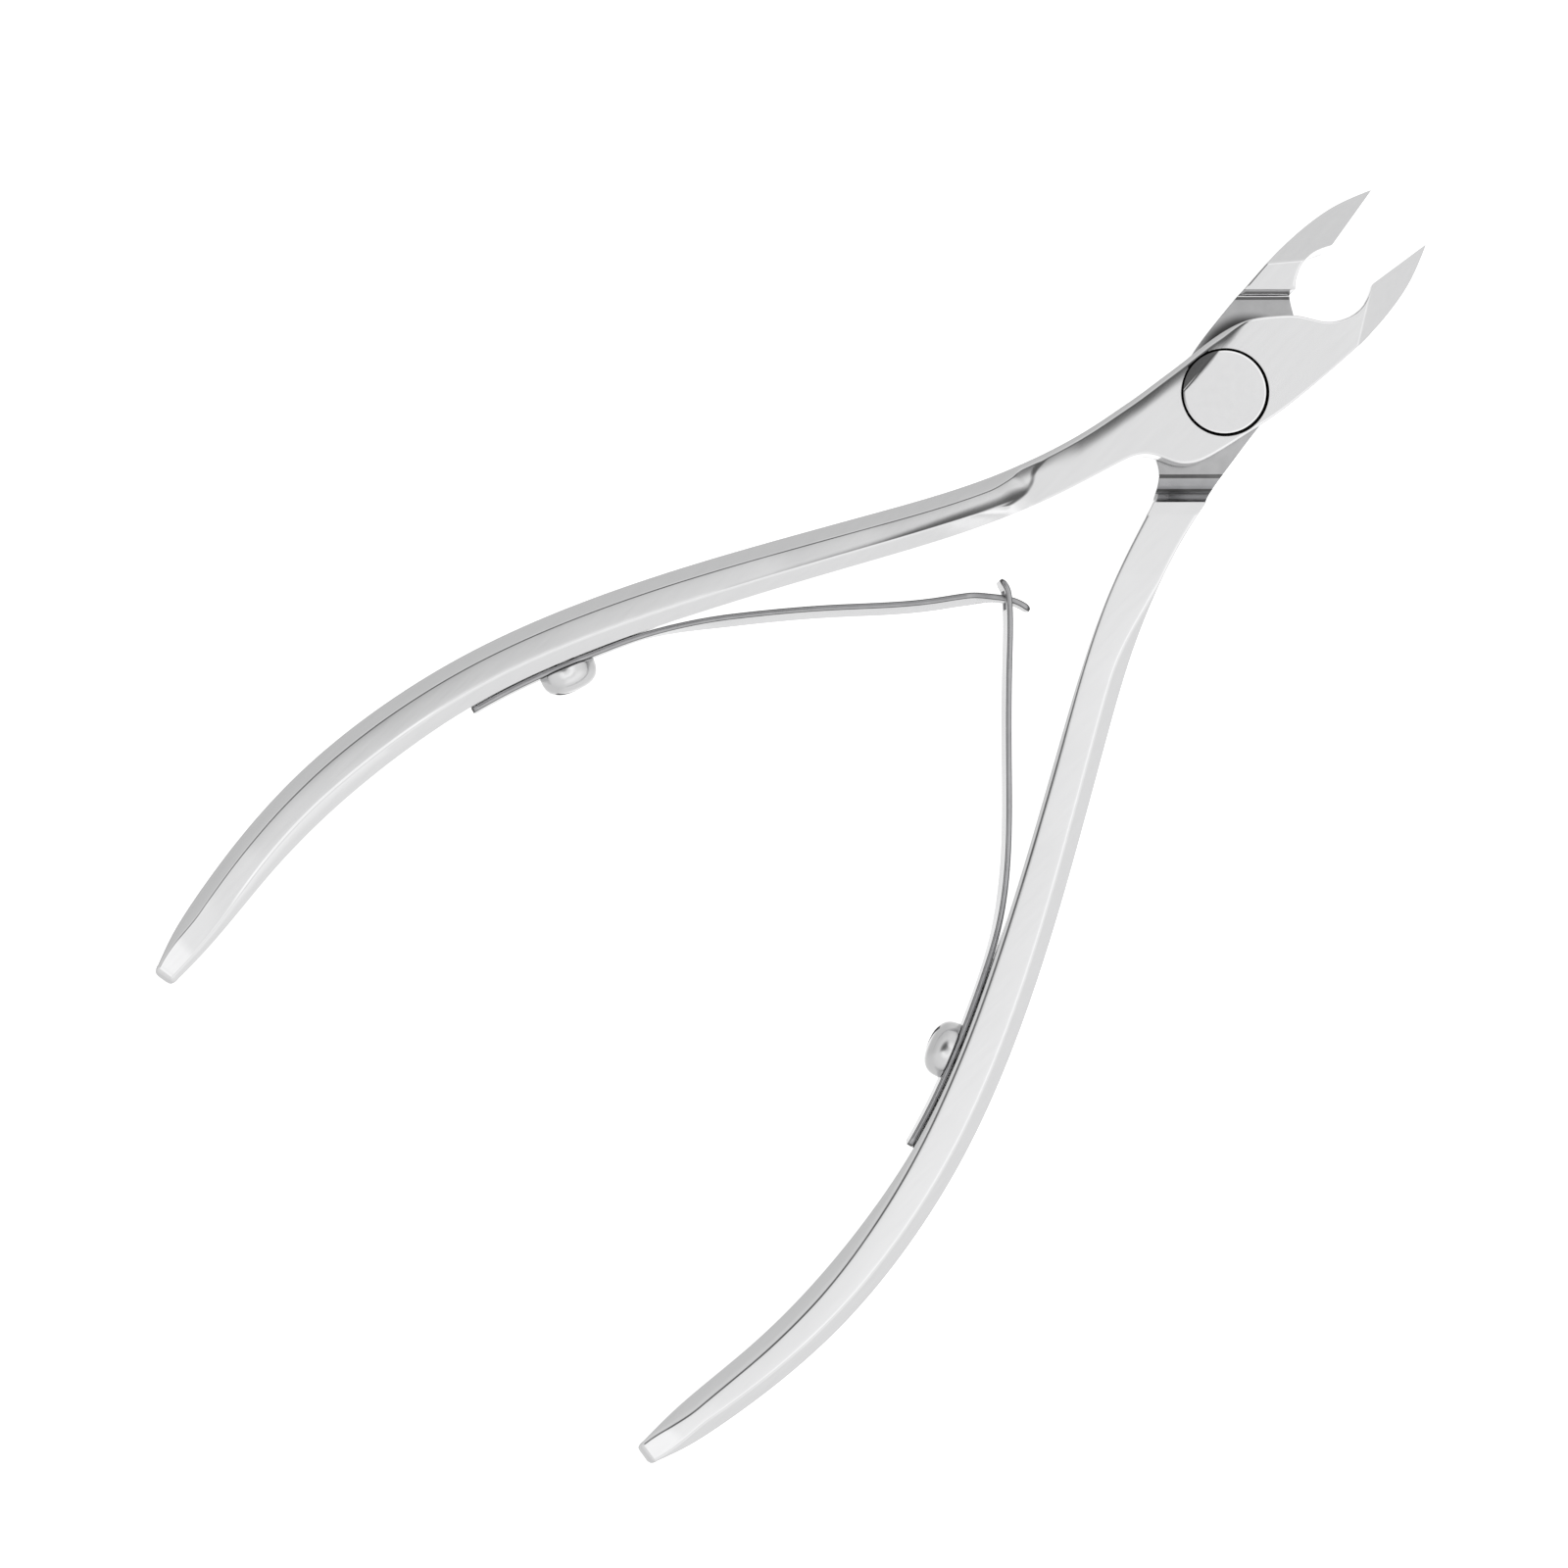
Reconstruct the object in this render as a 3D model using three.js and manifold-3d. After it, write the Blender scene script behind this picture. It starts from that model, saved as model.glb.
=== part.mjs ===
// Cuticle nipper: two crossed levers with a lap joint, a pivot rivet, and a pair of
// interlocking leaf springs held by domed screws. Millimetres, +Z up.
// The pivot's axis is Z at the origin, +X points to the jaws, and the nipper lies on z = 0.
// Both levers are one shape: the rear lever is the front lever turned over about X.
import * as THREE from "three";
import { mergeVertices } from "three/addons/utils/BufferGeometryUtils.js";
import Module from "manifold-3d";

// ---- Driving dimensions ----
const JOINT_THICKNESS = 7.0;
const MID = JOINT_THICKNESS / 2; // height of the plane where the two laps meet
const LAP_GAP = 0.05; // each lap's face stands this far off the middle plane
const JAW_WALL = 8.05; // distance from the pivot to the lap's wall on the jaw side
const JAW_WALL_DRAFT = 0.1; // how far that wall leans
const HANDLE_WALL_FOOT = 7.1; // the same on the handle side, where the wall is a slope
const HANDLE_WALL_TOP = 8.6;
const HANDLE_CHAMFER = 1.0; // bevel along the handle's four edges
const JOINT_CHAMFER = 0.2; // the finer bevel at the joint and the jaws
const CHAMFER_FADE_START = -24; // X where the handle's bevel starts to narrow
const CHAMFER_FADE_END = -9; // X where it has reached the joint's bevel

const RIVET_HEAD_RADIUS = 3.25;
const RIVET_HEAD_DEPTH = 1.8;
const RIVET_SHANK_RADIUS = 2.1;
const RIVET_TAIL_RADIUS = 2.9;
const RIVET_TAIL_DEPTH = 0.9;
const RUNNING_CLEARANCE = 0.08;

const SPRING_THICKNESS = 0.45;
const SPRING_WIDTH = 3.5;
const SPRING_SEAT_GAP = 0.12; // between the spring's root and the handle
const SPRING_ROOT_START = -59.3; // X of the spring's flat end
const SPRING_ROOT_END = -46; // X where it leaves the handle
const SPRING_CROSSING = -23.35; // X where the two springs cross
const TONGUE_WIDTH = 1.5;
const TONGUE_SHOULDER = 0.9; // from the shoulder to the crossing
const TONGUE_TAPER = 2.3;
const SLOT_WIDTH = 2.1;
const SLOT_LENGTH = 1.5;

const SCREW_X = -51.6;
const SCREW_HEAD_RADIUS = 2.3;
const SCREW_HEAD_HEIGHT = 1.9;
const SCREW_SHANK_RADIUS = 0.9;
const SCREW_SHANK_LENGTH = 2.4; // below the head, through the spring and into the handle
const SCREW_SLOT_WIDTH = 0.55;
const SCREW_SLOT_DEPTH = 0.5;

const HANDLE_STEPS = 4; // cross-sections between two stations of a handle
const JOINT_STEPS = 2;
const THROAT_STEPS = 4;
const ROUND_SEGMENTS = 96;

// The lap frame is the part's frame turned by 45 degrees, so the lap's walls cross its n axis.
const lap = (n, t) => [(n + t) / Math.SQRT2, (t - n) / Math.SQRT2];

// ---- Stations of the front lever ----
// A station is a pair of points, one on each side of the lever. The left side is the handle's
// outer side and the jaw's cutting side; the right side is the handle's inner side and the
// jaw's back. half is the half thickness there.
const station = (left, right, half) => ({ left, right, half });

const HANDLE_STATIONS = [
  station([-90.4, 27.8], [-90.6, 26.4], 1.7),
  station([-88.4, 28.6], [-88.6, 25.95], 2.1),
  station([-84.3, 29.5], [-84.4, 26.15], 2.45),
  station([-79.1, 30.2], [-79.3, 26.5], 2.7),
  station([-72.4, 30.45], [-72.8, 26.55], 2.85),
  station([-64.9, 29.7], [-66.1, 25.9], 3.0),
  station([-56.9, 27.85], [-58.5, 24.35], 3.05),
  station([-48.9, 24.9], [-50.9, 21.65], 3.05),
  station([-40.9, 21.1], [-43.1, 18.0], 3.0),
  station([-33.0, 16.8], [-35.0, 13.75], 2.95),
  station([-26.0, 12.8], [-28.0, 9.9], 2.95),
  station([-19.5, 9.25], [-21.6, 6.5], 3.1),
  station([-13.5, 6.7], [-16.0, 4.05], 3.35),
];
// In the joint both points of a station have the same n, so each cross-section runs along the walls.
const jointStation = (n, left, right) => station(lap(n, left), lap(n, right), MID);
const JOINT_STATIONS = [
  jointStation(-9.6, -2.15, -6.15),
  jointStation(-8.2, -1.2, -5.42),
  jointStation(-7.0, -0.38, -4.92),
  jointStation(-5.8, 0.5, -4.85),
  jointStation(-4.8, 1.25, -5.15),
  jointStation(-3.6, 2.15, -5.55),
  jointStation(-2.2, 3.25, -5.45),
  jointStation(-0.8, 4.3, -4.8),
  jointStation(0.6, 5.15, -3.95),
  jointStation(2.0, 5.7, -3.05),
  jointStation(3.8, 5.95, -1.9),
  jointStation(5.9, 5.95, -0.3),
  jointStation(8.25, 5.5, 1.65),
];
const HEEL = lap(11.6, 8.49); // where the cutting edge starts
const TIP = lap(16.3, 12.0);
const JAW_CORNER = lap(11.3, 4.4); // the jaw's back across from the heel
const THROAT_STATIONS = [
  station(lap(9.25, 5.7), lap(9.4, 2.65), MID),
  station(lap(10.25, 6.2), lap(10.3, 3.45), MID),
  station(lap(11.0, 7.0), lap(10.85, 3.95), MID),
];
const JAW_BACK = [JAW_CORNER, lap(12.5, 5.7), lap(13.7, 7.15), lap(14.95, 9.0), lap(16.2, 11.7)];
const TIP_HALF = 0.3; // half thickness at the tip
// A ground facet falls from the joint's full thickness, on a line through two points, to the tip.
const UPPER_FACET_LINE = [lap(10.57, 4.24), lap(11.41, 7.77)];
const LOWER_FACET_LINE = [lap(10.14, 3.97), lap(10.3, 5.89)];

// The free part of each spring, drawn on the front lever's side of the middle line, and its
// curled tip. The springs cross a little to the front lever's side.
const FRONT_SPRING = {
  free: [[-42.9, 17.2], [-39.6, 14.7], [-33.6, 9.65], [-27.6, 4.4], [-23.35, 0.58]],
  curl: [[-22.9, -0.35], [-22.7, -1.25]],
};
const REAR_SPRING = {
  free: [[-42.6, 17.3], [-38.3, 14.1], [-32.3, 8.3], [-26.6, 2.7], [-23.35, -0.56]],
  curl: [[-22.9, -1.2], [-22.7, -2.1]],
};

// ---- Curves ----

// A natural cubic spline through the points, by distance along their chords.
function smoothCurve(points) {
  const at = [0];
  for (let i = 1; i < points.length; i++) {
    at.push(at[i - 1] + Math.hypot(points[i][0] - points[i - 1][0], points[i][1] - points[i - 1][1]));
  }
  const axes = [0, 1].map((k) => naturalSpline(at, points.map((p) => p[k])));
  return { at, point: (u) => axes.map((axis) => axis(u)) };
}

// The natural cubic spline through (x, y), solved as a tridiagonal system for its second slopes.
function naturalSpline(x, y) {
  const last = x.length - 1;
  const bend = new Array(last + 1).fill(0);
  const carry = new Array(last + 1).fill(0);
  for (let i = 1; i < last; i++) {
    const before = x[i] - x[i - 1];
    const after = x[i + 1] - x[i];
    const pull = 6 * ((y[i + 1] - y[i]) / after - (y[i] - y[i - 1]) / before);
    const pivot = 2 * (before + after) - before * carry[i - 1];
    carry[i] = after / pivot;
    bend[i] = (pull - before * bend[i - 1]) / pivot;
  }
  for (let i = last - 1; i > 0; i--) bend[i] -= carry[i] * bend[i + 1];
  return (u) => {
    let i = 0;
    while (i < last - 1 && u > x[i + 1]) i++;
    const span = x[i + 1] - x[i];
    const a = (x[i + 1] - u) / span;
    const b = (u - x[i]) / span;
    const curve = ((a ** 3 - a) * bend[i] + (b ** 3 - b) * bend[i + 1]) * (span ** 2 / 6);
    return a * y[i] + b * y[i + 1] + curve;
  };
}

// The value of u between low and high where the rising function f reaches the target.
function solve(f, target, low, high) {
  for (let i = 0; i < 50; i++) {
    const middle = (low + high) / 2;
    if (f(middle) < target) low = middle;
    else high = middle;
  }
  return (low + high) / 2;
}

const mix = (a, b, w) => a + (b - a) * w;
const mixPoint = (p, q, w) => [mix(p[0], q[0], w), mix(p[1], q[1], w)];
const clamp = (v, low, high) => Math.min(high, Math.max(low, v));
const lapN = (p) => (p[0] - p[1]) / Math.SQRT2;
const lapT = (p) => (p[0] + p[1]) / Math.SQRT2;

// ---- Meshes ----

// A closed surface over rings of the same number of [x, y, z] corners, capped at both ends.
function loft(rings) {
  const count = rings[0].length;
  const index = [];
  for (let r = 0; r + 1 < rings.length; r++) {
    for (let c = 0; c < count; c++) {
      const here = r * count + c;
      const beside = r * count + ((c + 1) % count);
      index.push(here, beside, beside + count, here, beside + count, here + count);
    }
  }
  const end = (rings.length - 1) * count;
  for (let c = 1; c + 1 < count; c++) {
    index.push(0, c + 1, c);
    index.push(end, end + c, end + c + 1);
  }
  const geometry = new THREE.BufferGeometry();
  geometry.setAttribute("position", new THREE.Float32BufferAttribute(rings.flat(2), 3));
  geometry.setIndex(index);
  return geometry;
}

const wasm = await Module();
wasm.setup();

function solid(geometry, position = [0, 0, 0], rotation = [0, 0, 0]) {
  const plain = geometry.clone();
  plain.deleteAttribute("normal");
  plain.deleteAttribute("uv");
  const place = new THREE.Matrix4().makeRotationFromEuler(new THREE.Euler(...rotation));
  plain.applyMatrix4(place.setPosition(...position));
  const merged = mergeVertices(plain, 1e-4);
  const body = new wasm.Manifold(
    new wasm.Mesh({
      numProp: 3,
      vertProperties: merged.attributes.position.array,
      triVerts: new Uint32Array(merged.index.array),
    }),
  );
  return body;
}

function geometryOf(body) {
  const mesh = body.getMesh();
  const positions = [];
  for (let i = 0; i < mesh.numVert; i++) {
    positions.push(...mesh.vertProperties.subarray(i * mesh.numProp, i * mesh.numProp + 3));
  }
  const geometry = new THREE.BufferGeometry();
  geometry.setAttribute("position", new THREE.Float32BufferAttribute(positions, 3));
  geometry.setIndex(Array.from(mesh.triVerts));
  geometry.computeVertexNormals();
  return geometry;
}

// A turned body about Z from [radius, z] corners listed from its lowest point upwards.
function turned(profile) {
  const corners = profile.map(([radius, z]) => new THREE.Vector2(radius, z));
  return new THREE.LatheGeometry(corners, ROUND_SEGMENTS).rotateX(Math.PI / 2);
}

// ---- The lever ----

const leftCurve = smoothCurve([...HANDLE_STATIONS, ...JOINT_STATIONS, ...THROAT_STATIONS]
  .map((s) => s.left).concat([HEEL]));
const rightCurve = smoothCurve([...HANDLE_STATIONS, ...JOINT_STATIONS, ...THROAT_STATIONS]
  .map((s) => s.right).concat([JAW_CORNER]));
const jawBackCurve = smoothCurve(JAW_BACK);

// Half thickness at a point of the throat or the jaw, on one face of the lever.
function facetHalf(line) {
  const plane = new THREE.Plane().setFromCoplanarPoints(
    new THREE.Vector3(...line[0], MID),
    new THREE.Vector3(...TIP, TIP_HALF),
    new THREE.Vector3(...line[1], MID),
  );
  return ([x, y]) =>
    Math.min(MID, -(plane.normal.x * x + plane.normal.y * y + plane.constant) / plane.normal.z);
}
const upperFacet = facetHalf(UPPER_FACET_LINE);
const lowerFacet = facetHalf(LOWER_FACET_LINE);

// Underside of the front lever at a point of the joint: full depth outside the walls, and the
// lap's face between them.
function undersideOf(n, half) {
  const face = MID + LAP_GAP;
  const full = MID - half;
  if (n >= 0) return mix(face, full, clamp((n - JAW_WALL + JAW_WALL_DRAFT) / JAW_WALL_DRAFT, 0, 1));
  const rise = clamp((-n - HANDLE_WALL_FOOT) / (HANDLE_WALL_TOP - HANDLE_WALL_FOOT), 0, 1);
  return mix(face, full, 1 - Math.sqrt(1 - rise ** 2));
}

// One eight-cornered cross-section between a left and a right point. lowHalves are the half
// thicknesses below the middle plane where they differ from those above it.
function section(left, right, halves, underside = null, lowHalves = halves) {
  const width = Math.hypot(left[0] - right[0], left[1] - right[1]);
  const fade = clamp((left[0] - CHAMFER_FADE_START) / (CHAMFER_FADE_END - CHAMFER_FADE_START), 0, 1);
  const wanted = mix(HANDLE_CHAMFER, JOINT_CHAMFER, fade);
  const corner = (w, z) => [...mixPoint(left, right, w), z];
  const chamfer = (half) => Math.min(wanted, width / 3, half / 2);
  const top = halves.map((half) => MID + half);
  const bottom = lowHalves.map((half) => (underside === null ? MID - half : underside));
  const cut = halves.map(chamfer);
  const low = underside === null ? cut : cut.map((c) => Math.min(c, JOINT_CHAMFER / 2));
  const inset = cut.map((c) => c / width);
  const lowInset = low.map((c) => c / width);
  return [
    corner(0, bottom[0] + low[0]),
    corner(0, top[0] - cut[0]),
    corner(inset[0], top[0]),
    corner(1 - inset[1], top[1]),
    corner(1, top[1] - cut[1]),
    corner(1, bottom[1] + low[1]),
    corner(1 - lowInset[1], bottom[1]),
    corner(lowInset[0], bottom[0]),
  ];
}

function handleSections(stations, steps) {
  const rings = [];
  for (let i = 0; i + 1 < stations.length; i++) {
    for (let step = 0; step < steps; step++) {
      const w = step / steps;
      const left = leftCurve.point(mix(leftCurve.at[i], leftCurve.at[i + 1], w));
      const right = rightCurve.point(mix(rightCurve.at[i], rightCurve.at[i + 1], w));
      const half = mix(stations[i].half, stations[i + 1].half, w);
      rings.push(section(left, right, [half, half]));
    }
  }
  return rings;
}

// Cross-sections of the joint, which all run along the walls, with extra ones at the walls.
function jointSections() {
  const first = HANDLE_STATIONS.length;
  const last = first + JOINT_STATIONS.length - 1;
  const places = [];
  const start = lapN(JOINT_STATIONS[0].left);
  const finish = lapN(JOINT_STATIONS[JOINT_STATIONS.length - 1].left);
  const count = JOINT_STEPS * (JOINT_STATIONS.length - 1);
  for (let i = 0; i <= count; i++) places.push(mix(start, finish, i / count));
  places.push(-HANDLE_WALL_TOP, -HANDLE_WALL_FOOT, JAW_WALL - JAW_WALL_DRAFT, JAW_WALL);
  places.sort((a, b) => a - b);
  return places.map((n) => {
    const [left, right] = [leftCurve, rightCurve].map((curve) =>
      curve.point(solve((u) => lapN(curve.point(u)), n, curve.at[first], curve.at[last])),
    );
    return section(left, right, [MID, MID], undersideOf(n, MID));
  });
}

const facetSection = (left, right) =>
  section(left, right, [left, right].map(upperFacet), null, [left, right].map(lowerFacet));

function throatSections() {
  const first = HANDLE_STATIONS.length + JOINT_STATIONS.length - 1;
  const rings = [];
  for (let i = 0; i <= THROAT_STATIONS.length; i++) {
    for (let step = 0; step < THROAT_STEPS; step++) {
      const [left, right] = [leftCurve, rightCurve].map((curve) =>
        curve.point(mix(curve.at[first + i], curve.at[first + i + 1], step / THROAT_STEPS)),
      );
      rings.push(facetSection(left, right));
    }
  }
  return rings.slice(1);
}

function jawSections() {
  const steps = JAW_BACK.length - 1;
  return JAW_BACK.map((_, i) =>
    facetSection(mixPoint(HEEL, TIP, i / steps), jawBackCurve.point(jawBackCurve.at[i])),
  );
}

function frontLeverBody() {
  const rings = [
    ...handleSections([...HANDLE_STATIONS, JOINT_STATIONS[0]], HANDLE_STEPS),
    ...jointSections(),
    ...throatSections(),
    ...jawSections(),
  ];
  return solid(loft(rings));
}

// ---- Rivet, screws and springs ----

// The rivet's outline, or with a clearance the outline of the hole it sits in.
function rivetProfile(clearance) {
  const past = clearance > 0 ? 1 : 0;
  const headFloor = JOINT_THICKNESS - RIVET_HEAD_DEPTH - clearance;
  const tailTop = RIVET_TAIL_DEPTH + clearance;
  return [
    [0, -past],
    [RIVET_TAIL_RADIUS + clearance, -past],
    [RIVET_TAIL_RADIUS + clearance, tailTop],
    [RIVET_SHANK_RADIUS + clearance, tailTop],
    [RIVET_SHANK_RADIUS + clearance, headFloor],
    [RIVET_HEAD_RADIUS + clearance, headFloor],
    [RIVET_HEAD_RADIUS + clearance, JOINT_THICKNESS + past],
    [0, JOINT_THICKNESS + past],
  ];
}

// Where the spring's screw stands: its point on the handle's inner side and its direction.
const handleEnd = rightCurve.at[HANDLE_STATIONS.length - 1];
const innerAt = (x) => solve((u) => rightCurve.point(u)[0], x, 0, handleEnd);
function innerSide(x) {
  const u = innerAt(x);
  const step = 0.05;
  const [p, q] = [rightCurve.point(u - step), rightCurve.point(u + step)];
  const along = Math.atan2(q[1] - p[1], q[0] - p[0]);
  return { point: rightCurve.point(u), inward: [Math.sin(along), -Math.cos(along)], along };
}
const screwSeat = innerSide(SCREW_X);
const headStand = SPRING_SEAT_GAP + SPRING_THICKNESS + SPRING_SEAT_GAP;

// The screw points out of the handle along its own +Z, with the handle's surface at z = 0.
function screwFrame() {
  const turn = new THREE.Euler(0, Math.PI / 2, Math.atan2(screwSeat.inward[1], screwSeat.inward[0]), "ZYX");
  return { position: [...screwSeat.point, MID], rotation: [turn.x, turn.y, turn.z, turn.order] };
}

function screwBody() {
  const dome = [];
  const steps = 8;
  const radius = (SCREW_HEAD_RADIUS ** 2 + SCREW_HEAD_HEIGHT ** 2) / (2 * SCREW_HEAD_HEIGHT);
  const widest = Math.asin(SCREW_HEAD_RADIUS / radius);
  for (let i = 0; i <= steps; i++) {
    const angle = widest * (1 - i / steps);
    const z = headStand + SCREW_HEAD_HEIGHT - radius * (1 - Math.cos(angle));
    dome.push([i === steps ? 0 : radius * Math.sin(angle), z]);
  }
  const foot = headStand - SCREW_SHANK_LENGTH;
  const profile = [[0, foot], [SCREW_SHANK_RADIUS, foot], [SCREW_SHANK_RADIUS, headStand], ...dome];
  const slotHeight = 2 * SCREW_SLOT_DEPTH;
  const slot = new THREE.BoxGeometry(SCREW_SLOT_WIDTH, 3 * SCREW_HEAD_RADIUS, slotHeight);
  return solid(turned(profile)).subtract(solid(slot, [0, 0, headStand + SCREW_HEAD_HEIGHT]));
}

function shankHole(clearance) {
  const radius = SCREW_SHANK_RADIUS + clearance;
  const foot = headStand - SCREW_SHANK_LENGTH - clearance;
  const { position, rotation } = screwFrame();
  return solid(turned([[0, foot], [radius, foot], [radius, headStand], [0, headStand]]), position, rotation);
}

// The path of a spring's middle: along the handle, across to the crossing, then curled.
function springPath({ free, curl }) {
  const offset = SPRING_SEAT_GAP + SPRING_THICKNESS / 2;
  const seated = [];
  const seats = 5;
  for (let i = 0; i <= seats; i++) {
    const { point, inward } = innerSide(mix(SPRING_ROOT_START, SPRING_ROOT_END, i / seats));
    seated.push([point[0] + inward[0] * offset, point[1] + inward[1] * offset]);
  }
  return smoothCurve([...seated, ...free, ...curl]);
}

// A strip along the path, upright, with its width given at each distance along the path.
function strip(path, widthAt) {
  const rings = [];
  const length = path.at[path.at.length - 1];
  const steps = 90;
  for (let i = 0; i <= steps; i++) {
    const u = mix(0, length, i / steps);
    const [p, q] = [path.point(u - 0.02), path.point(u + 0.02)];
    const along = Math.atan2(q[1] - p[1], q[0] - p[0]);
    const [x, y] = path.point(u);
    const side = [-Math.sin(along) * SPRING_THICKNESS / 2, Math.cos(along) * SPRING_THICKNESS / 2];
    const half = widthAt(u, length) / 2;
    rings.push([
      [x + side[0], y + side[1], MID - half],
      [x + side[0], y + side[1], MID + half],
      [x - side[0], y - side[1], MID + half],
      [x - side[0], y - side[1], MID - half],
    ]);
  }
  return solid(loft(rings));
}

const crossingOf = (path) =>
  solve((u) => path.point(u)[0], SPRING_CROSSING, 0, path.at[path.at.length - 2]);

function tongueSpringBody() {
  const path = springPath(FRONT_SPRING);
  const taperEnd = crossingOf(path) - TONGUE_SHOULDER;
  const taperStart = taperEnd - TONGUE_TAPER;
  const widthAt = (u) =>
    mix(SPRING_WIDTH, TONGUE_WIDTH, clamp((u - taperStart) / (taperEnd - taperStart), 0, 1));
  return strip(path, widthAt).subtract(shankHole(RUNNING_CLEARANCE));
}

function slottedSpringBody() {
  const path = springPath(REAR_SPRING);
  const window = new THREE.BoxGeometry(SLOT_LENGTH, 3 * SPRING_THICKNESS, SLOT_WIDTH);
  const place = [...path.point(crossingOf(path)), MID];
  return strip(path, () => SPRING_WIDTH)
    .subtract(shankHole(RUNNING_CLEARANCE))
    .subtract(solid(window, place, [0, 0, -Math.PI / 4]));
}

// ---- Assembly ----

const steel = (color, roughness) => new THREE.MeshStandardMaterial({ color, roughness, metalness: 1 });
const LEVER_STEEL = [0xd4d5d7, 0.22];
const SPRING_STEEL = [0xc4c5c8, 0.3];
const FASTENER_STEEL = [0xcccdd0, 0.25];

function part(name, body, finish) {
  const mesh = new THREE.Mesh(geometryOf(body), steel(...finish));
  mesh.name = name;
  return mesh;
}

function springScrew(name) {
  const screw = part(name, screwBody(), FASTENER_STEEL);
  const { position, rotation } = screwFrame();
  screw.position.set(...position);
  screw.rotation.set(...rotation);
  return screw;
}

const rivetHole = solid(turned(rivetProfile(RUNNING_CLEARANCE)));
const rivetHoleTurnedOver = solid(turned(rivetProfile(RUNNING_CLEARANCE)), [0, 0, JOINT_THICKNESS], [Math.PI, 0, 0]);
const plainLever = frontLeverBody().subtract(shankHole(RUNNING_CLEARANCE));

const frontSide = new THREE.Group();
frontSide.add(part("front_lever", plainLever.subtract(rivetHole), LEVER_STEEL));
frontSide.add(part("front_spring", tongueSpringBody(), SPRING_STEEL));
frontSide.add(springScrew("front_spring_screw"));

// Turned over about the X axis through the middle plane.
const rearSide = new THREE.Group();
rearSide.rotation.x = Math.PI;
rearSide.position.z = JOINT_THICKNESS;
rearSide.add(part("rear_lever", plainLever.subtract(rivetHoleTurnedOver), LEVER_STEEL));
rearSide.add(part("rear_spring", slottedSpringBody(), SPRING_STEEL));
rearSide.add(springScrew("rear_spring_screw"));

const nipper = new THREE.Group();
nipper.add(frontSide, rearSide, part("pivot_rivet", solid(turned(rivetProfile(0))), FASTENER_STEEL));

export default nipper;
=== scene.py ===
"""Looks of the cuticle nipper: polished steel levers, interlocking leaf springs, rivet and screws.

Shapes are worked out in millimetres in the part's frame and turned into metres when a mesh is made.
Every piece is drawn for the front lever's side; the rear side's pieces are the same shapes turned
over about the X axis through the middle plane. left is the side towards the handle's outer edge and
the jaw's cutting edge, right is the side towards the handle's inner edge and the jaw's back.
"""

import math

import bmesh
import bpy
from mathutils import Matrix, Vector

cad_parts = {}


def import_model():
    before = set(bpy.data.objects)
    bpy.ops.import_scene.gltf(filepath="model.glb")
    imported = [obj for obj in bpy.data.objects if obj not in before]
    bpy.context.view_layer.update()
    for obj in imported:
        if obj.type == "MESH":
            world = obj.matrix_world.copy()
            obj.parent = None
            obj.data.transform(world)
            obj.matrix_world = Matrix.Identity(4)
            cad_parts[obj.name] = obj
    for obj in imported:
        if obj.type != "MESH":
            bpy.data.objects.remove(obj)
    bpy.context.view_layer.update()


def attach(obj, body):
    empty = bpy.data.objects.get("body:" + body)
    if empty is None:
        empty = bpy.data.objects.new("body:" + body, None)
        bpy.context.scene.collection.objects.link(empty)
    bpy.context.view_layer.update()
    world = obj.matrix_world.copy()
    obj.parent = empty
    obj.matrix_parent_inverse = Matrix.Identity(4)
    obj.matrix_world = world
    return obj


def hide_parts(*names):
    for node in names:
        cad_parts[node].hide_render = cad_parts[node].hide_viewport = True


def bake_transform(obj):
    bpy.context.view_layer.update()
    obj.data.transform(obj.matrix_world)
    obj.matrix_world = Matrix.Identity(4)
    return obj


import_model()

MM = 0.001
MID = 3.5  # height of the plane where the two laps meet
FULL = 7.0  # thickness of the joint
CUTTER_SPARE = 1.0  # how far a cutting body reaches beyond what it cuts

# ---- Laps ----
# Places along the joint are n in the lap frame, which is turned by 45 degrees so that the lap's
# walls cross its n axis: n grows from the handle side to the jaw side, with the rivet at 0.
LAP_GAP = 0.05  # from each lap's face to the middle plane
LAP_EDGE = 0.05  # the face falls away by this at the lever's sides
JAW_WALL_FOOT = 7.9  # the wall on the jaw side: its foot has a fillet, its top is upright
JAW_WALL_FILLET = 0.1
JAW_WALL_RUN = 0.03  # the upright part leans by this much
JAW_WALL_LAST = 8.029  # the lever's last section on the wall itself
JAW_WALL_TOP = 8.05
HANDLE_WALL_FOOT = 6.95  # the wall on the handle side is one round fillet
HANDLE_WALL_TOP = 8.6
WHEEL_REACH = 7.72  # the handle-side wall is polished beyond this line
FLOOR_STEP = 6.15  # the lap's face lies a little deeper beyond this line on the handle side
FLOOR_STEP_DEPTH = 0.12
FLOOR_STEP_WIDTH = 0.32
JAW_SHADE_LINE = 7.65  # painted shade: dark lines in the floor near the walls' feet start here
HANDLE_SHADE_LINE = 7.3
SHADE_LINE_WIDTH = 0.24
SHADE_X = 3.2  # painted shade: the laps are darkened round this place beside the pivot
SHADE_DARKEST = 3.6  # distance from it up to which they are darkest
SHADE_CLEAR = 4.6  # and from which they are unshaded
SHADE_TONE = 0.15

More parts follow.
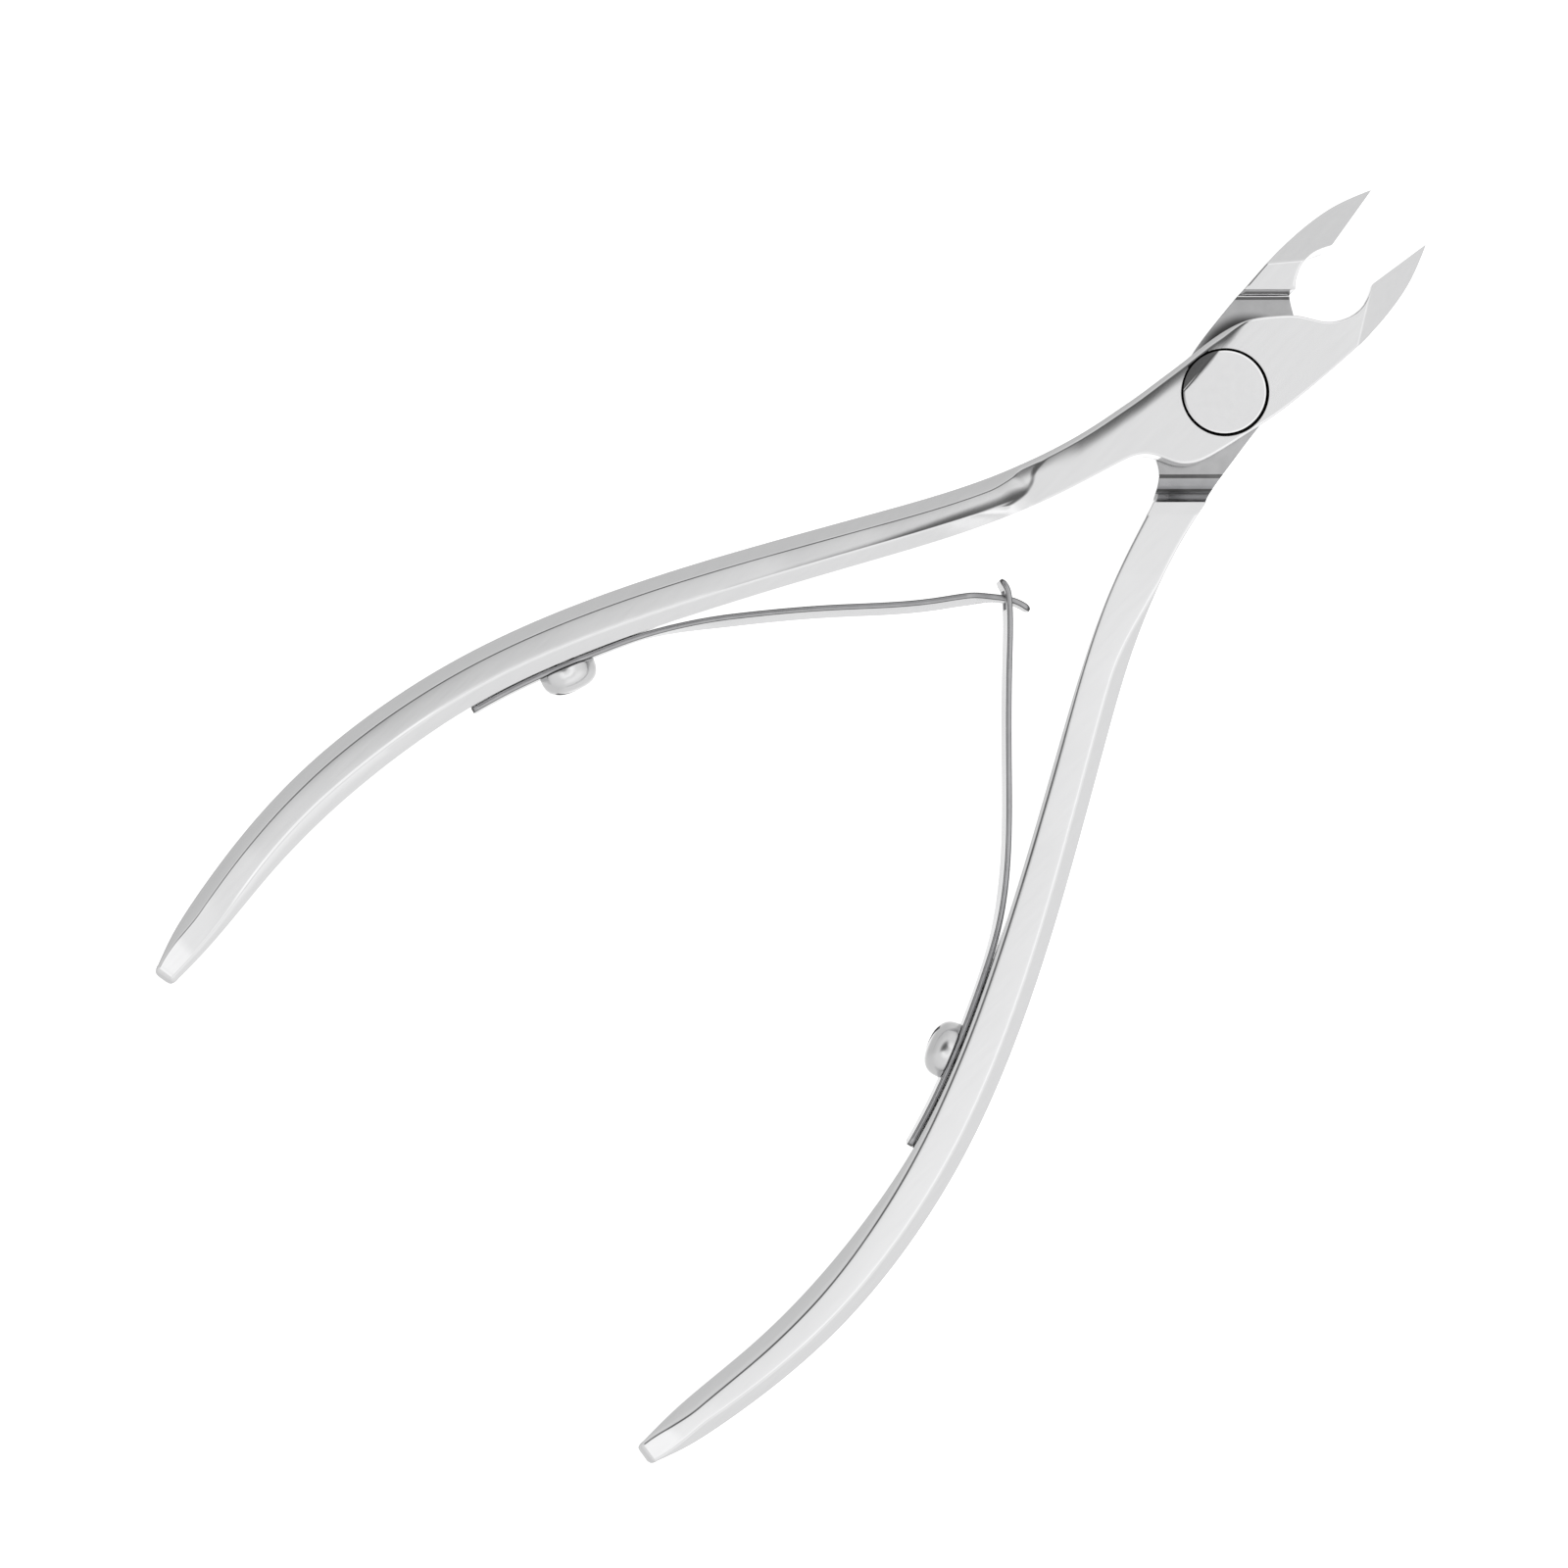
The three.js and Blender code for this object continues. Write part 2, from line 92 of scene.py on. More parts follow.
# ---- Bevels and creases ----
BEVEL_WIDTH = 1.0  # the handle's bevels, seen from above
BEVEL_SLOPE = 0.82
WIDEST_BEVEL = 3  # a bevel is at most the face's width divided by this
OUTER_EDGE = 0.38  # the bevel along the ground flat's outer edge
JOINT_EDGE = 0.05  # the fine bevel round the rest of the joint and the jaws
UNDER_BEVEL = 0.2  # the inner bevel of the lower face from the joint to half way down the handle
CREASE = 0.06  # half the width over which a bevel rounds into the face beside it
UNDER_CREASE = 0.1  # the same at the lower face's inner bevel
FACET_ROUNDING = 0.05  # where a jaw's ground facet meets the joint's face
HANDLE_CROWN = 0.008  # the handle's faces are lower by this beside their bevels
LEAST_FACE = 0.1  # width between two bevels

# A stretch is (X where it starts, its length) along the handle, towards the handle's end.
OUTER_BEVEL_GROWS = (-14.0, 4.0)
UNDER_OUTER_GROWS = (-13.5, 8.0)
UNDER_INNER_GROWS = (-14.0, 16.0)  # to UNDER_BEVEL
UNDER_INNER_WIDENS = (-50.0, 24.0)  # to BEVEL_WIDTH
TWIST = (-16.0, 9.0)  # the ground flat twists into the handle's inner bevel
CREASE_LEAVES_EDGE = (-16.0, 4.0)  # the twisted part's crease moves in from the lever's side
GROOVE_DEEPENS = (-58.0, 8.0)

# Towards the handle's end the bevels narrow and the groove runs out, by an X near the end and the
# length before it over which they do.
END_BEVEL_X = -91.5
END_BEVEL_LENGTH = 6.0
END_BEVEL_SHARE = 0.15  # of all bevels' width but the upper inner one's that is left there
INNER_BEVEL_X = -92.0
INNER_BEVEL_LENGTH = 20.0
INNER_BEVEL_SHARE = 0.4  # of the upper inner bevel's width that is left there
GROOVE_X = -88.0
GROOVE_LENGTH = 10.0
GROOVE_DEPTH = 0.034  # of the groove beside the upper inner bevel's crease
GROOVE_SHALLOW = 0.15  # share of it nearer the joint
GROOVE_HALF = 0.24  # half the groove's width
END_RADIUS = 0.9  # rounding of the handle's end
END_SQUARENESS = 0.6
END_OPEN = 0.3  # the rounding stops this share of a step before it would close to a point

# ---- Where the joint's ground flat meets the forged handle ----
CROWN_WIDTH = 1.6  # the ground flat falls away towards its outer edge
CROWN_DROP = 0.125
CROWN_START = -11.3  # n where the crown starts to narrow towards the shoulder
CROWN_FADE = 3.4
CROWN_NARROWED = 0.65  # share of it that is left at the shoulder
CROWN_END = -0.5  # n where the crown and the outer bevel start to vanish towards the jaw
CROWN_END_LENGTH = 2.5
SHOULDER_RISE = 0.16  # the ground flat stands this far above the forged handle
SHOULDER_REACH = 1.1  # and falls to it over this distance
CREASE_REACH = 0.33  # the same where it crosses the lever and where it is only a crease
SHOULDER_X = -17.5  # the shoulder fades along the handle from here
SHOULDER_FADE = 6.0
SHOULDER_ROUNDING = 0.12
SHOULDER_STEP = 0.028  # what is left of the shoulder where it crosses the lever
CROSSED_X = -15.6  # X where it has crossed, and from where its reach grows
CROSSED_LENGTH = 1.9
SCOOP_START = -18.2  # the forged face rises from here to meet the ground flat
SCOOP_LENGTH = 2.6
LEVEL_ROUNDING = 0.1  # of the ground flat where it reaches the joint's full height

# ---- The lever's sections ----
THINNEST = 0.05  # least half thickness of the jaw
LEAST_SPACING = 0.012  # of the lever's rings along the joint
FINE_X = -20.0  # the handle's sections stand closer together from here to the joint
COARSE_STEPS = 8
FINE_STEPS = 90

# A station is a pair of points (x, y), left and right, and the half thickness there.
HANDLE_STATIONS = [
    ((-90.9, 27.7), (-90.6, 25.8), 2.1),
    ((-88.4, 28.6), (-88.5, 25.8), 2.3),
    ((-84.3, 29.5), (-84.4, 26.05), 2.5),
    ((-79.1, 30.2), (-79.3, 26.5), 2.7),
    ((-72.4, 30.45), (-72.8, 26.55), 2.85),
    ((-64.9, 29.7), (-66.1, 25.9), 3.0),
    ((-56.9, 27.85), (-58.5, 24.35), 3.05),
    ((-48.9, 24.9), (-50.9, 21.65), 3.05),
    ((-40.9, 21.1), (-43.1, 18.0), 3.0),
    ((-33.0, 16.8), (-35.0, 13.75), 2.95),
    ((-26.0, 12.8), (-28.0, 9.9), 3.05),
    ((-19.5, 9.25), (-21.6, 6.5), 3.25),
    ((-13.5, 6.7), (-16.0, 4.05), 3.4),
]
# In the joint a station is (n, left, right) in the lap frame.
JOINT_STATIONS = [
    (-9.6, -2.15, -6.15),
    (-8.2, -1.2, -5.42),
    (-7.0, -0.38, -4.92),
    (-5.8, 0.5, -4.85),
    (-4.8, 1.25, -5.15),
    (-3.6, 2.15, -5.55),
    (-2.2, 3.25, -5.45),
    (-0.8, 4.3, -4.8),
    (0.6, 5.15, -3.95),
    (2.0, 5.7, -3.05),
    (3.8, 5.95, -1.9),
    (5.9, 5.95, -0.3),
    (8.25, 5.5, 1.65),
]


def lap(n, t):
    """The point (x, y) of a place in the lap frame."""
    return ((n + t) / math.sqrt(2), (t - n) / math.sqrt(2))


def lap_n(point):
    return (point[0] - point[1]) / math.sqrt(2)


HEEL = lap(11.6, 8.49)  # where the cutting edge starts
TIP = lap(16.3, 12.0)
TIP_HALF = 0.3
JAW_ROOT = lap(11.3, 4.4)  # on the jaw's back, across from the heel
# A ground facet falls from the joint's full thickness, on a line through two points, to the tip.
UPPER_FACET_LINE = (lap(10.57, 4.24), lap(11.41, 7.77))
LOWER_FACET_LINE = (lap(10.14, 3.97), lap(10.3, 5.89))
THROAT_STATIONS = [
    (lap(9.25, 5.7), lap(9.4, 2.65)),
    (lap(10.25, 6.2), lap(10.3, 3.45)),
    (lap(11.0, 7.0), lap(10.85, 3.95)),
    (HEEL, JAW_ROOT),
]
JAW_BACK = [JAW_ROOT, lap(12.5, 5.7), lap(13.7, 7.15), lap(14.95, 9.0), lap(16.2, 11.7)]

# The edge of the joint's ground flat on the upper face, which crosses the lever in an S; beyond its
# last point it is the crease of the handle's inner bevel.
SHOULDER_LINE = [
    (-12.3, 6.8), (-13.3, 6.35), (-14.2, 6.25), (-15.0, 6.1), (-15.45, 5.8), (-16.2, 5.5),
    (-17.2, 5.5), (-18.2, 5.75), (-19.7, 6.5),
]
SHOULDER_CREASE_X = (-22.5, -26.0, -30.0, -35.0, -41.0)  # where it follows the bevel's crease
SHOULDER_END = -39.0  # X where nothing is left of the shoulder

# ---- Rivet ----
RIVET_RADIUS = 3.25
RIVET_SHIFT = 0.04  # the rivet sits off its hole's middle, towards the outer edge
RIVET_GAP = 0.2  # between the head and its counterbore, seen from above
RIVET_DOME = 0.03
RIVET_FACET_Y = 2.28  # the head is ground away a little beyond this line
RIVET_FACET_TILT = math.radians(5.5)
RIVET_FACET_BEND = 0.05  # the ground part curves away from the line
RIVET_FACET_LENGTH = 2.0
RIVET_FACET_TURN = math.radians(3.7)
RIVET_HEAD_DEPTH = 1.8
RIVET_SHANK_RADIUS = 2.1
RIVET_TAIL_RADIUS = 2.9
RIVET_TAIL_DEPTH = 0.9
RIM_BEVEL = 0.04
RIM_TURN = 80  # the rim turns by this many degrees into the domed face
BORE_CLEARANCE = 0.08

# ---- Springs ----
SPRING_THICKNESS = 0.45
SPRING_WIDTH = 3.5
SPRING_ROUNDING = 0.16
ROUNDING_SHARE = 0.4  # a strip's corners are rounded by at most this share of its sides
SPRING_END_LENGTH = 0.7  # the strip's outline is rounded over this length at each end
SPRING_END_SHARE = 0.7
SPRING_TIP_LENGTH = 0.3  # and its free end gets thinner over this
SPRING_TIP_SHARE = 0.55
FRONT_SPRING_TILT = math.radians(8)  # of the free part, so its inner face shows from above
REAR_SPRING_TILT = math.radians(-3)
TILT_START = 14.0  # along the spring from its root
TILT_LENGTH = 8.0
SEAT_GAP = 0.04
ROOT_START = -59.3  # X where the spring starts on its handle, and X where it leaves it
ROOT_END = -46.0
CROSSING = -23.35  # X where the two springs cross
TONGUE_WIDTH = 1.5
TONGUE_SHOULDER = 0.9
TONGUE_TAPER = 2.3
SLOT_WIDTH = 2.1
SLOT_LENGTH = 1.5
FRONT_SPRING = [
    (-42.9, 17.2), (-39.6, 14.7), (-33.6, 9.65), (-27.6, 4.4), (-23.35, 0.58),
    (-22.9, -0.35), (-22.7, -1.25),
]
REAR_SPRING = [
    (-42.6, 17.3), (-38.3, 14.1), (-32.3, 8.3), (-26.6, 2.7), (-23.35, -0.56),
    (-22.9, -1.2), (-22.7, -2.1),
]

# ---- Screws ----
SCREW_X = -51.6
SCREW_RADIUS = 2.3
SCREW_HEIGHT = 1.9
SCREW_SQUARENESS = 0.75
SCREW_ROUNDING = 0.12
SCREW_SHANK_RADIUS = 0.9
SCREW_SHANK_LENGTH = 2.4
SCREW_SLOT_WIDTH = 0.5
SCREW_SLOT_DEPTH = 0.35
SCREW_SLOT_TURN = math.radians(62)
SHANK_CLEARANCE = 0.02


# ---- Curves and numbers ----


def mix(a, b, w):
    return a + (b - a) * w


def mix_point(p, q, w):
    return (mix(p[0], q[0], w), mix(p[1], q[1], w))


def clamp(value, low=0.0, high=1.0):
    return min(high, max(low, value))


def ease(value):
    value = clamp(value)
    return value * value * (3 - 2 * value)


def along(x, stretch):
    """Rises from 0 where a stretch of the handle starts to 1 where it ends."""
    start, length = stretch
    return ease((start - x) / length)


def soft_min(a, b, reach):
    """The lower of a and b, rounded where they come within reach of each other."""
    near = clamp((reach - abs(a - b)) / reach)
    return min(a, b) - near * near * reach / 4


def spline(xs, ys):
    """The natural cubic spline through (x, y)."""
    last = len(xs) - 1
    bend = [0.0] * (last + 1)
    carry = [0.0] * (last + 1)
    for i in range(1, last):
        before = xs[i] - xs[i - 1]
        after = xs[i + 1] - xs[i]
        pull = 6 * ((ys[i + 1] - ys[i]) / after - (ys[i] - ys[i - 1]) / before)
        pivot = 2 * (before + after) - before * carry[i - 1]
        carry[i] = after / pivot
        bend[i] = (pull - before * bend[i - 1]) / pivot
    for i in range(last - 1, 0, -1):
        bend[i] -= carry[i] * bend[i + 1]

    def value(u):
        i = 0
        while i < last - 1 and u > xs[i + 1]:
            i += 1
        span = xs[i + 1] - xs[i]
        a = (xs[i + 1] - u) / span
        b = (u - xs[i]) / span
        curve = ((a**3 - a) * bend[i] + (b**3 - b) * bend[i + 1]) * span**2 / 6
        return a * ys[i] + b * ys[i + 1] + curve

    return value


class Curve:
    """A smooth curve through points, by distance along their chords."""

    HEADING_REACH = 0.02
    HALVINGS = 50

    def __init__(self, points):
        self.at = [0.0]
        for p, q in zip(points, points[1:]):
            self.at.append(self.at[-1] + math.dist(p, q))
        self.axes = [spline(self.at, [p[k] for p in points]) for k in (0, 1)]

    def point(self, u):
        return (self.axes[0](u), self.axes[1](u))

    def heading(self, u):
        before = self.point(u - self.HEADING_REACH)
        after = self.point(u + self.HEADING_REACH)
        return math.atan2(after[1] - before[1], after[0] - before[0])

    def find(self, measure, target, low, high):
        """The distance between low and high where measure(point), which rises, is target."""
        for _ in range(self.HALVINGS):
            middle = (low + high) / 2
            if measure(self.point(middle)) < target:
                low = middle
            else:
                high = middle
        return (low + high) / 2


# ---- Meshes ----

LEAST_RADIUS = 0.001  # a turned body's ends are closed by faces this small


def mesh_object(name, rings):
    """A closed mesh over rings with the same number of (x, y, z) corners in millimetres."""
    mesh = bmesh.new()
    rows = [[mesh.verts.new([c * MM for c in corner]) for corner in ring] for ring in rings]
    count = len(rows[0])
    for row, following in zip(rows, rows[1:]):
        for i in range(count):
            j = (i + 1) % count
            mesh.faces.new((row[i], row[j], following[j], following[i]))
    mesh.faces.new(rows[0][::-1])
    mesh.faces.new(rows[-1])
    bmesh.ops.triangulate(mesh, faces=[f for f in mesh.faces if len(f.verts) > 4])
    bmesh.ops.recalc_face_normals(mesh, faces=mesh.faces)
    data = bpy.data.meshes.new(name)
    mesh.to_mesh(data)
    mesh.free()
    made = bpy.data.objects.new(name, data)
    bpy.context.scene.collection.objects.link(made)
    return made


def turned(name, profile, segments=128):
    """A turned body about Z from (radius, z) corners, lowest first; both ends lie on the axis."""
    rings = []
    for radius, z in profile:
        radius = max(radius, LEAST_RADIUS)
        angles = [2 * math.pi * i / segments for i in range(segments)]
        rings.append([(radius * math.cos(a), radius * math.sin(a), z) for a in angles])
    return mesh_object(name, rings)


def place(made, matrix):
    """Moves the mesh itself by a matrix given in millimetres."""
    shift = Matrix.Translation([c * MM for c in matrix.to_translation()])
    made.data.transform(shift @ matrix.to_3x3().to_4x4())
    return made


def cut(made, cutter):
    """Takes the cutter's volume away from the mesh and removes the cutter."""
    modifier = made.modifiers.new("cut", "BOOLEAN")
    modifier.operation = "DIFFERENCE"
    modifier.solver = "EXACT"
    modifier.object = cutter
    bpy.context.view_layer.update()
    graph = bpy.context.evaluated_depsgraph_get()
    result = bpy.data.meshes.new_from_object(made.evaluated_get(graph))
    made.modifiers.clear()
    made.data = result
    bpy.data.objects.remove(cutter)


def copy_of(made, name):
    other = made.copy()
    other.data = made.data.copy()
    other.name = name
    bpy.context.scene.collection.objects.link(other)
    return other


TURNED_OVER = Matrix.Translation((0, 0, FULL)) @ Matrix.Rotation(math.pi, 4, "X")


# ---- The lever's cross-sections ----

left_curve = Curve(
    [s[0] for s in HANDLE_STATIONS]
    + [lap(n, left) for n, left, right in JOINT_STATIONS]
    + [s[0] for s in THROAT_STATIONS]
)
right_curve = Curve(
    [s[1] for s in HANDLE_STATIONS]
    + [lap(n, right) for n, left, right in JOINT_STATIONS]
    + [s[1] for s in THROAT_STATIONS]
)
jaw_back_curve = Curve(JAW_BACK)
JOINT_FIRST = len(HANDLE_STATIONS)
JOINT_LAST = JOINT_FIRST + len(JOINT_STATIONS) - 1

handle_end = right_curve.at[JOINT_FIRST - 1]


def inner_side(x):
    """The point of the handle's inner side at x and the direction out of the handle there."""
    u = right_curve.find(lambda p: p[0], x, 0, handle_end)
    heading = right_curve.heading(u)
    return right_curve.point(u), (math.sin(heading), -math.cos(heading))


def inner_crease(x):
    point, out = inner_side(x)
    return (point[0] - BEVEL_WIDTH * out[0], point[1] - BEVEL_WIDTH * out[1])


def shoulder_samples():
    curve = Curve(SHOULDER_LINE + [inner_crease(x) for x in SHOULDER_CREASE_X])
    count = 260
    return [curve.point(curve.at[-1] * i / count) for i in range(count + 1)]


shoulder = shoulder_samples()


def past_shoulder(point):
    """Distance from the shoulder's line, positive on the side of the forged handle."""
    nearest = min(range(1, len(shoulder) - 1), key=lambda i: math.dist(point, shoulder[i]))
    before, here, after = shoulder[nearest - 1 : nearest + 2]
    chord = (after[0] - before[0], after[1] - before[1])
    offset = (point[0] - here[0], point[1] - here[1])
    return (chord[1] * offset[0] - chord[0] * offset[1]) / math.hypot(*chord)


def facet_half(point, line):
    """Half thickness on the plane that falls from the full height on a line to the tip."""
    a = Vector((*line[0], MID))
    normal = (Vector((*line[1], MID)) - a).cross(Vector((*TIP, TIP_HALF)) - a)
    offset = normal.x * (point[0] - a.x) + normal.y * (point[1] - a.y)
    return a.z - offset / normal.z


def lap_face(n):
    """Height of the lever's underside at a place along the joint."""
    face = MID + LAP_GAP
    if n >= 0:
        rise = clamp((n - JAW_WALL_FOOT) / JAW_WALL_FILLET)
        wall = clamp((n - JAW_WALL_FOOT - JAW_WALL_FILLET) / JAW_WALL_RUN)
        fillet = JAW_WALL_FILLET * (1 - math.sqrt(1 - rise**2))
        return face - fillet - wall * (face - JAW_WALL_FILLET)
    step = FLOOR_STEP_DEPTH * ease((-n - FLOOR_STEP) / FLOOR_STEP_WIDTH)
    rise = clamp((-n - HANDLE_WALL_FOOT) / (HANDLE_WALL_TOP - HANDLE_WALL_FOOT))
    return mix(face + step, 0.0, 1 - math.sqrt(1 - rise**2))


CREASE_SAMPLES = (-1, -0.5, 0, 0.5, 1)


def fitting(bevel, width):
    return min(bevel, width / WIDEST_BEVEL)


def across(width, left, right, inner):
    """Distances from the left edge where a face is sampled, close together at its creases."""
    left = fitting(left, width)
    right = fitting(right, width)
    marks = [0.0, left / 4, left / 2]
    marks += [left + min(CREASE, left / 2) * k for k in CREASE_SAMPLES]
    start = marks[-1]
    creased = [width - right + min(CREASE, right / 2) * k for k in CREASE_SAMPLES]
    marks += [mix(start, creased[0], i / inner) for i in range(1, inner)]
    return marks + creased + [width - right / 2, width - right / 4, width]


def bevelled(v, width, top, left, right, right_crease=CREASE):
    """Height at a distance v from the left edge of a face with a bevel at each edge."""
    left = fitting(left, width)
    right = fitting(right, width)
    height = top
    for distance, bevel, crease in ((v, left, CREASE), (width - v, right, right_crease)):
        plane = top - BEVEL_SLOPE * (bevel - distance)
        height = soft_min(height, plane, BEVEL_SLOPE * min(2 * crease, bevel))
    return height


def forged_half(v, width, half, left, right, worked=1.0, crease=CREASE):
    """Half thickness of a handle's slightly crowned face between two bevels."""
    face = max(width - left - right, LEAST_FACE)
    off_middle = clamp(abs((v - left) - (width - v - right)) / face)
    top = half - worked * HANDLE_CROWN * off_middle**3
    return bevelled(v, width, top, left, right, crease)


def ground_half(v, width, level, left_edge, crown, narrowed=1.0):
    """Half thickness of the ground flat, which falls away a little towards its left edge."""
    past = clamp((v - left_edge) / (narrowed * CROWN_WIDTH))
    drop = narrowed * crown * (1 - past) ** 2
    return bevelled(v, width, level - drop, left_edge, JOINT_EDGE)


def handle_half(point, v, width, half, left_bevel, right_bevel):
    """Half thickness of the handle's upper face, with the joint's ground flat above it."""
    inner = width - v
    forged = forged_half(v, width, half, left_bevel, right_bevel)
    if point[0] < SHOULDER_END:
        off_crease = (inner - right_bevel) / GROOVE_HALF
        grooved = mix(GROOVE_SHALLOW, 1.0, along(point[0], GROOVE_DEEPENS))
        grooved *= ease((point[0] - GROOVE_X) / GROOVE_LENGTH)
        return forged - grooved * GROOVE_DEPTH * max(0.0, 1 - off_crease**2)
    left_over = math.exp(-max(0.0, SHOULDER_X - point[0]) / SHOULDER_FADE)
    level = soft_min(MID, half + SHOULDER_RISE * left_over, LEVEL_ROUNDING)
    narrowed = mix(1.0, CROWN_NARROWED, ease((CROWN_START - lap_n(point)) / CROWN_FADE))
    ground = ground_half(v, width, level, OUTER_EDGE, CROWN_DROP, narrowed)
    scooped = clamp((point[0] - SCOOP_START) / SCOOP_LENGTH)
    if scooped > 0:
        lifted = forged + SHOULDER_RISE * scooped**2
        forged = soft_min(lifted, ground - SHOULDER_STEP, SHOULDER_STEP)
    twist = BEVEL_SLOPE * along(point[0], TWIST)
    if twist > 0:
        band = level - twist * (BEVEL_WIDTH - inner)
        ground = soft_min(ground, band, 2 * twist * CREASE)
    past = -soft_min(-past_shoulder(point), 0.0, SHOULDER_ROUNDING)
    crossed = ease((CROSSED_X - point[0]) / CROSSED_LENGTH)
    reach = mix(CREASE_REACH, SHOULDER_REACH, left_over * crossed)
    fall = clamp(past / reach)
    return mix(forged, ground, (1 - fall) ** 2)


def under_bevels(x):
    """Widths of the underside's bevels, which narrow towards the joint."""
    left = mix(JOINT_EDGE, BEVEL_WIDTH, along(x, UNDER_OUTER_GROWS))
    narrow = mix(JOINT_EDGE, UNDER_BEVEL, along(x, UNDER_INNER_GROWS))
    right = mix(narrow, BEVEL_WIDTH, along(x, UNDER_INNER_WIDENS))
    return left, right


def at_end(x):
    """Share of the bevels' width that is left near the handle's end."""
    return mix(END_BEVEL_SHARE, 1.0, ease((x - END_BEVEL_X) / END_BEVEL_LENGTH))


UPPER_SAMPLES = 44  # between a face's creases
LOWER_SAMPLES = 18
SIDE_STEPS = 4


def ring_between(left, right, upper, lower, upper_edges, lower_edges):
    """One ring of the lever: across the top, down the right, back below, up the left."""
    width = math.dist(left, right)
    top = []
    for v in across(width, *upper_edges, UPPER_SAMPLES):
        point = mix_point(left, right, v / width)
        top.append((*point, MID + upper(point, v)))
    low = []
    for v in across(width, *lower_edges, LOWER_SAMPLES):
        point = mix_point(left, right, v / width)
        low.append((*point, MID - lower(point, v)))
    shares = [i / SIDE_STEPS for i in range(1, SIDE_STEPS)]
    right_side = [(*right, mix(top[-1][2], low[-1][2], w)) for w in shares]
    left_side = [(*left, mix(low[0][2], top[0][2], w)) for w in shares]
    return top + right_side + low[::-1] + left_side


def handle_ring(left, right, half):
    width = math.dist(left, right)
    x = left[0]
    worked = along(x, OUTER_BEVEL_GROWS)
    left_bevel = mix(OUTER_EDGE, BEVEL_WIDTH, worked) * at_end(x)
    inner_end = ease((x - INNER_BEVEL_X) / INNER_BEVEL_LENGTH)
    right_bevel = mix(INNER_BEVEL_SHARE, 1.0, inner_end) * BEVEL_WIDTH
    edges = [bevel * at_end(x) for bevel in under_bevels(x)]
    crease = mix(JOINT_EDGE, right_bevel, along(right[0], CREASE_LEAVES_EDGE))
    return ring_between(
        left,
        right,
        lambda point, v: handle_half(point, v, width, half, left_bevel, right_bevel),
        lambda point, v: forged_half(v, width, half, *edges, worked, UNDER_CREASE),
        (left_bevel, crease),
        edges,
    )


def joint_ring(left, right, n):
    width = math.dist(left, right)
    round_joint = ease((n - CROWN_END) / CROWN_END_LENGTH)
    outer = mix(OUTER_EDGE, JOINT_EDGE, round_joint)
    crown = CROWN_DROP * (1 - round_joint)

    def lower(point, v):
        edge = 1 - clamp(min(v, width - v) / JOINT_EDGE)
        return MID - lap_face(n) - LAP_EDGE * edge**2

    return ring_between(
        left,
        right,
        lambda point, v: ground_half(v, width, MID, outer, crown),
        lower,
        (outer, JOINT_EDGE),
        (JOINT_EDGE, JOINT_EDGE),
    )


def jaw_ring(left, right):
    width = math.dist(left, right)
    edges = (JOINT_EDGE, JOINT_EDGE)

    def face(line):
        def half(point, v):
            flat = bevelled(v, width, MID, *edges)
            return max(soft_min(flat, facet_half(point, line), FACET_ROUNDING), THINNEST)

        return half

    return ring_between(left, right, face(UPPER_FACET_LINE), face(LOWER_FACET_LINE), edges, edges)


def handle_rings():
    """From the rounded end to the joint, with close sections where the ground flat ends."""
    n, left, right = JOINT_STATIONS[0]
    stations = HANDLE_STATIONS + [(lap(n, left), lap(n, right), MID)]
    rings = []
    for k, (here, following) in enumerate(zip(stations, stations[1:])):
        steps = COARSE_STEPS if here[0][0] < FINE_X else FINE_STEPS
        for step in range(steps):
            w = step / steps
            left = left_curve.point(mix(left_curve.at[k], left_curve.at[k + 1], w))
            right = right_curve.point(mix(right_curve.at[k], right_curve.at[k + 1], w))
            rings.append(handle_ring(left, right, mix(here[2], following[2], w)))
    return rings


def end_rings(first):
    """The rounded end of the handle, drawn in from its first section."""
    centre = Vector([sum(c[k] for c in first) / len(first) for k in range(3)])
    left, right = HANDLE_STATIONS[0][:2]
    outward = Vector((right[1] - left[1], left[0] - right[0], 0)).normalized()
    rings = []
    steps = 16
    for i in range(steps, 0, -1):
        angle = math.pi / 2 * i / (steps + END_OPEN)
        middle = centre + outward * END_RADIUS * math.sin(angle)
        shrink = math.cos(angle) ** END_SQUARENESS
        rings.append([tuple(middle + (Vector(c) - centre) * shrink) for c in first])
    return rings


def fillet_places(foot, length, steps):
    """Places n round a fillet, from its foot to where it is upright."""
    return [foot + length * math.sin(math.pi / 2 * i / steps) for i in range(steps + 1)]


def joint_places():
    """Places n of the joint's sections: even ones, and more where the lap's face changes."""
    start, finish = JOINT_STATIONS[0][0], JOINT_STATIONS[-1][0]
    count = 56
    places = [mix(start, finish, i / count) for i in range(count + 1)]
    places += fillet_places(JAW_WALL_FOOT, JAW_WALL_FILLET, 8)
    places += [JAW_WALL_LAST, JAW_WALL_TOP]
    places += fillet_places(-HANDLE_WALL_FOOT, HANDLE_WALL_FOOT - HANDLE_WALL_TOP, 16)
    step_count = 5
    places += [-FLOOR_STEP - FLOOR_STEP_WIDTH * i / step_count for i in range(step_count + 1)]
    places += [JAW_SHADE_LINE, JAW_SHADE_LINE + SHADE_LINE_WIDTH]
    places += [-HANDLE_SHADE_LINE, -HANDLE_SHADE_LINE - SHADE_LINE_WIDTH]
    return sorted(places)


def joint_rings():
    rings = []
    previous = -math.inf
    for n in joint_places():
        if n - previous < LEAST_SPACING:
            continue
        previous = n
        sides = []
        for curve in (left_curve, right_curve):
            u = curve.find(lap_n, n, curve.at[JOINT_FIRST], curve.at[JOINT_LAST])
            sides.append(curve.point(u))
        rings.append(joint_ring(*sides, n))
    return rings


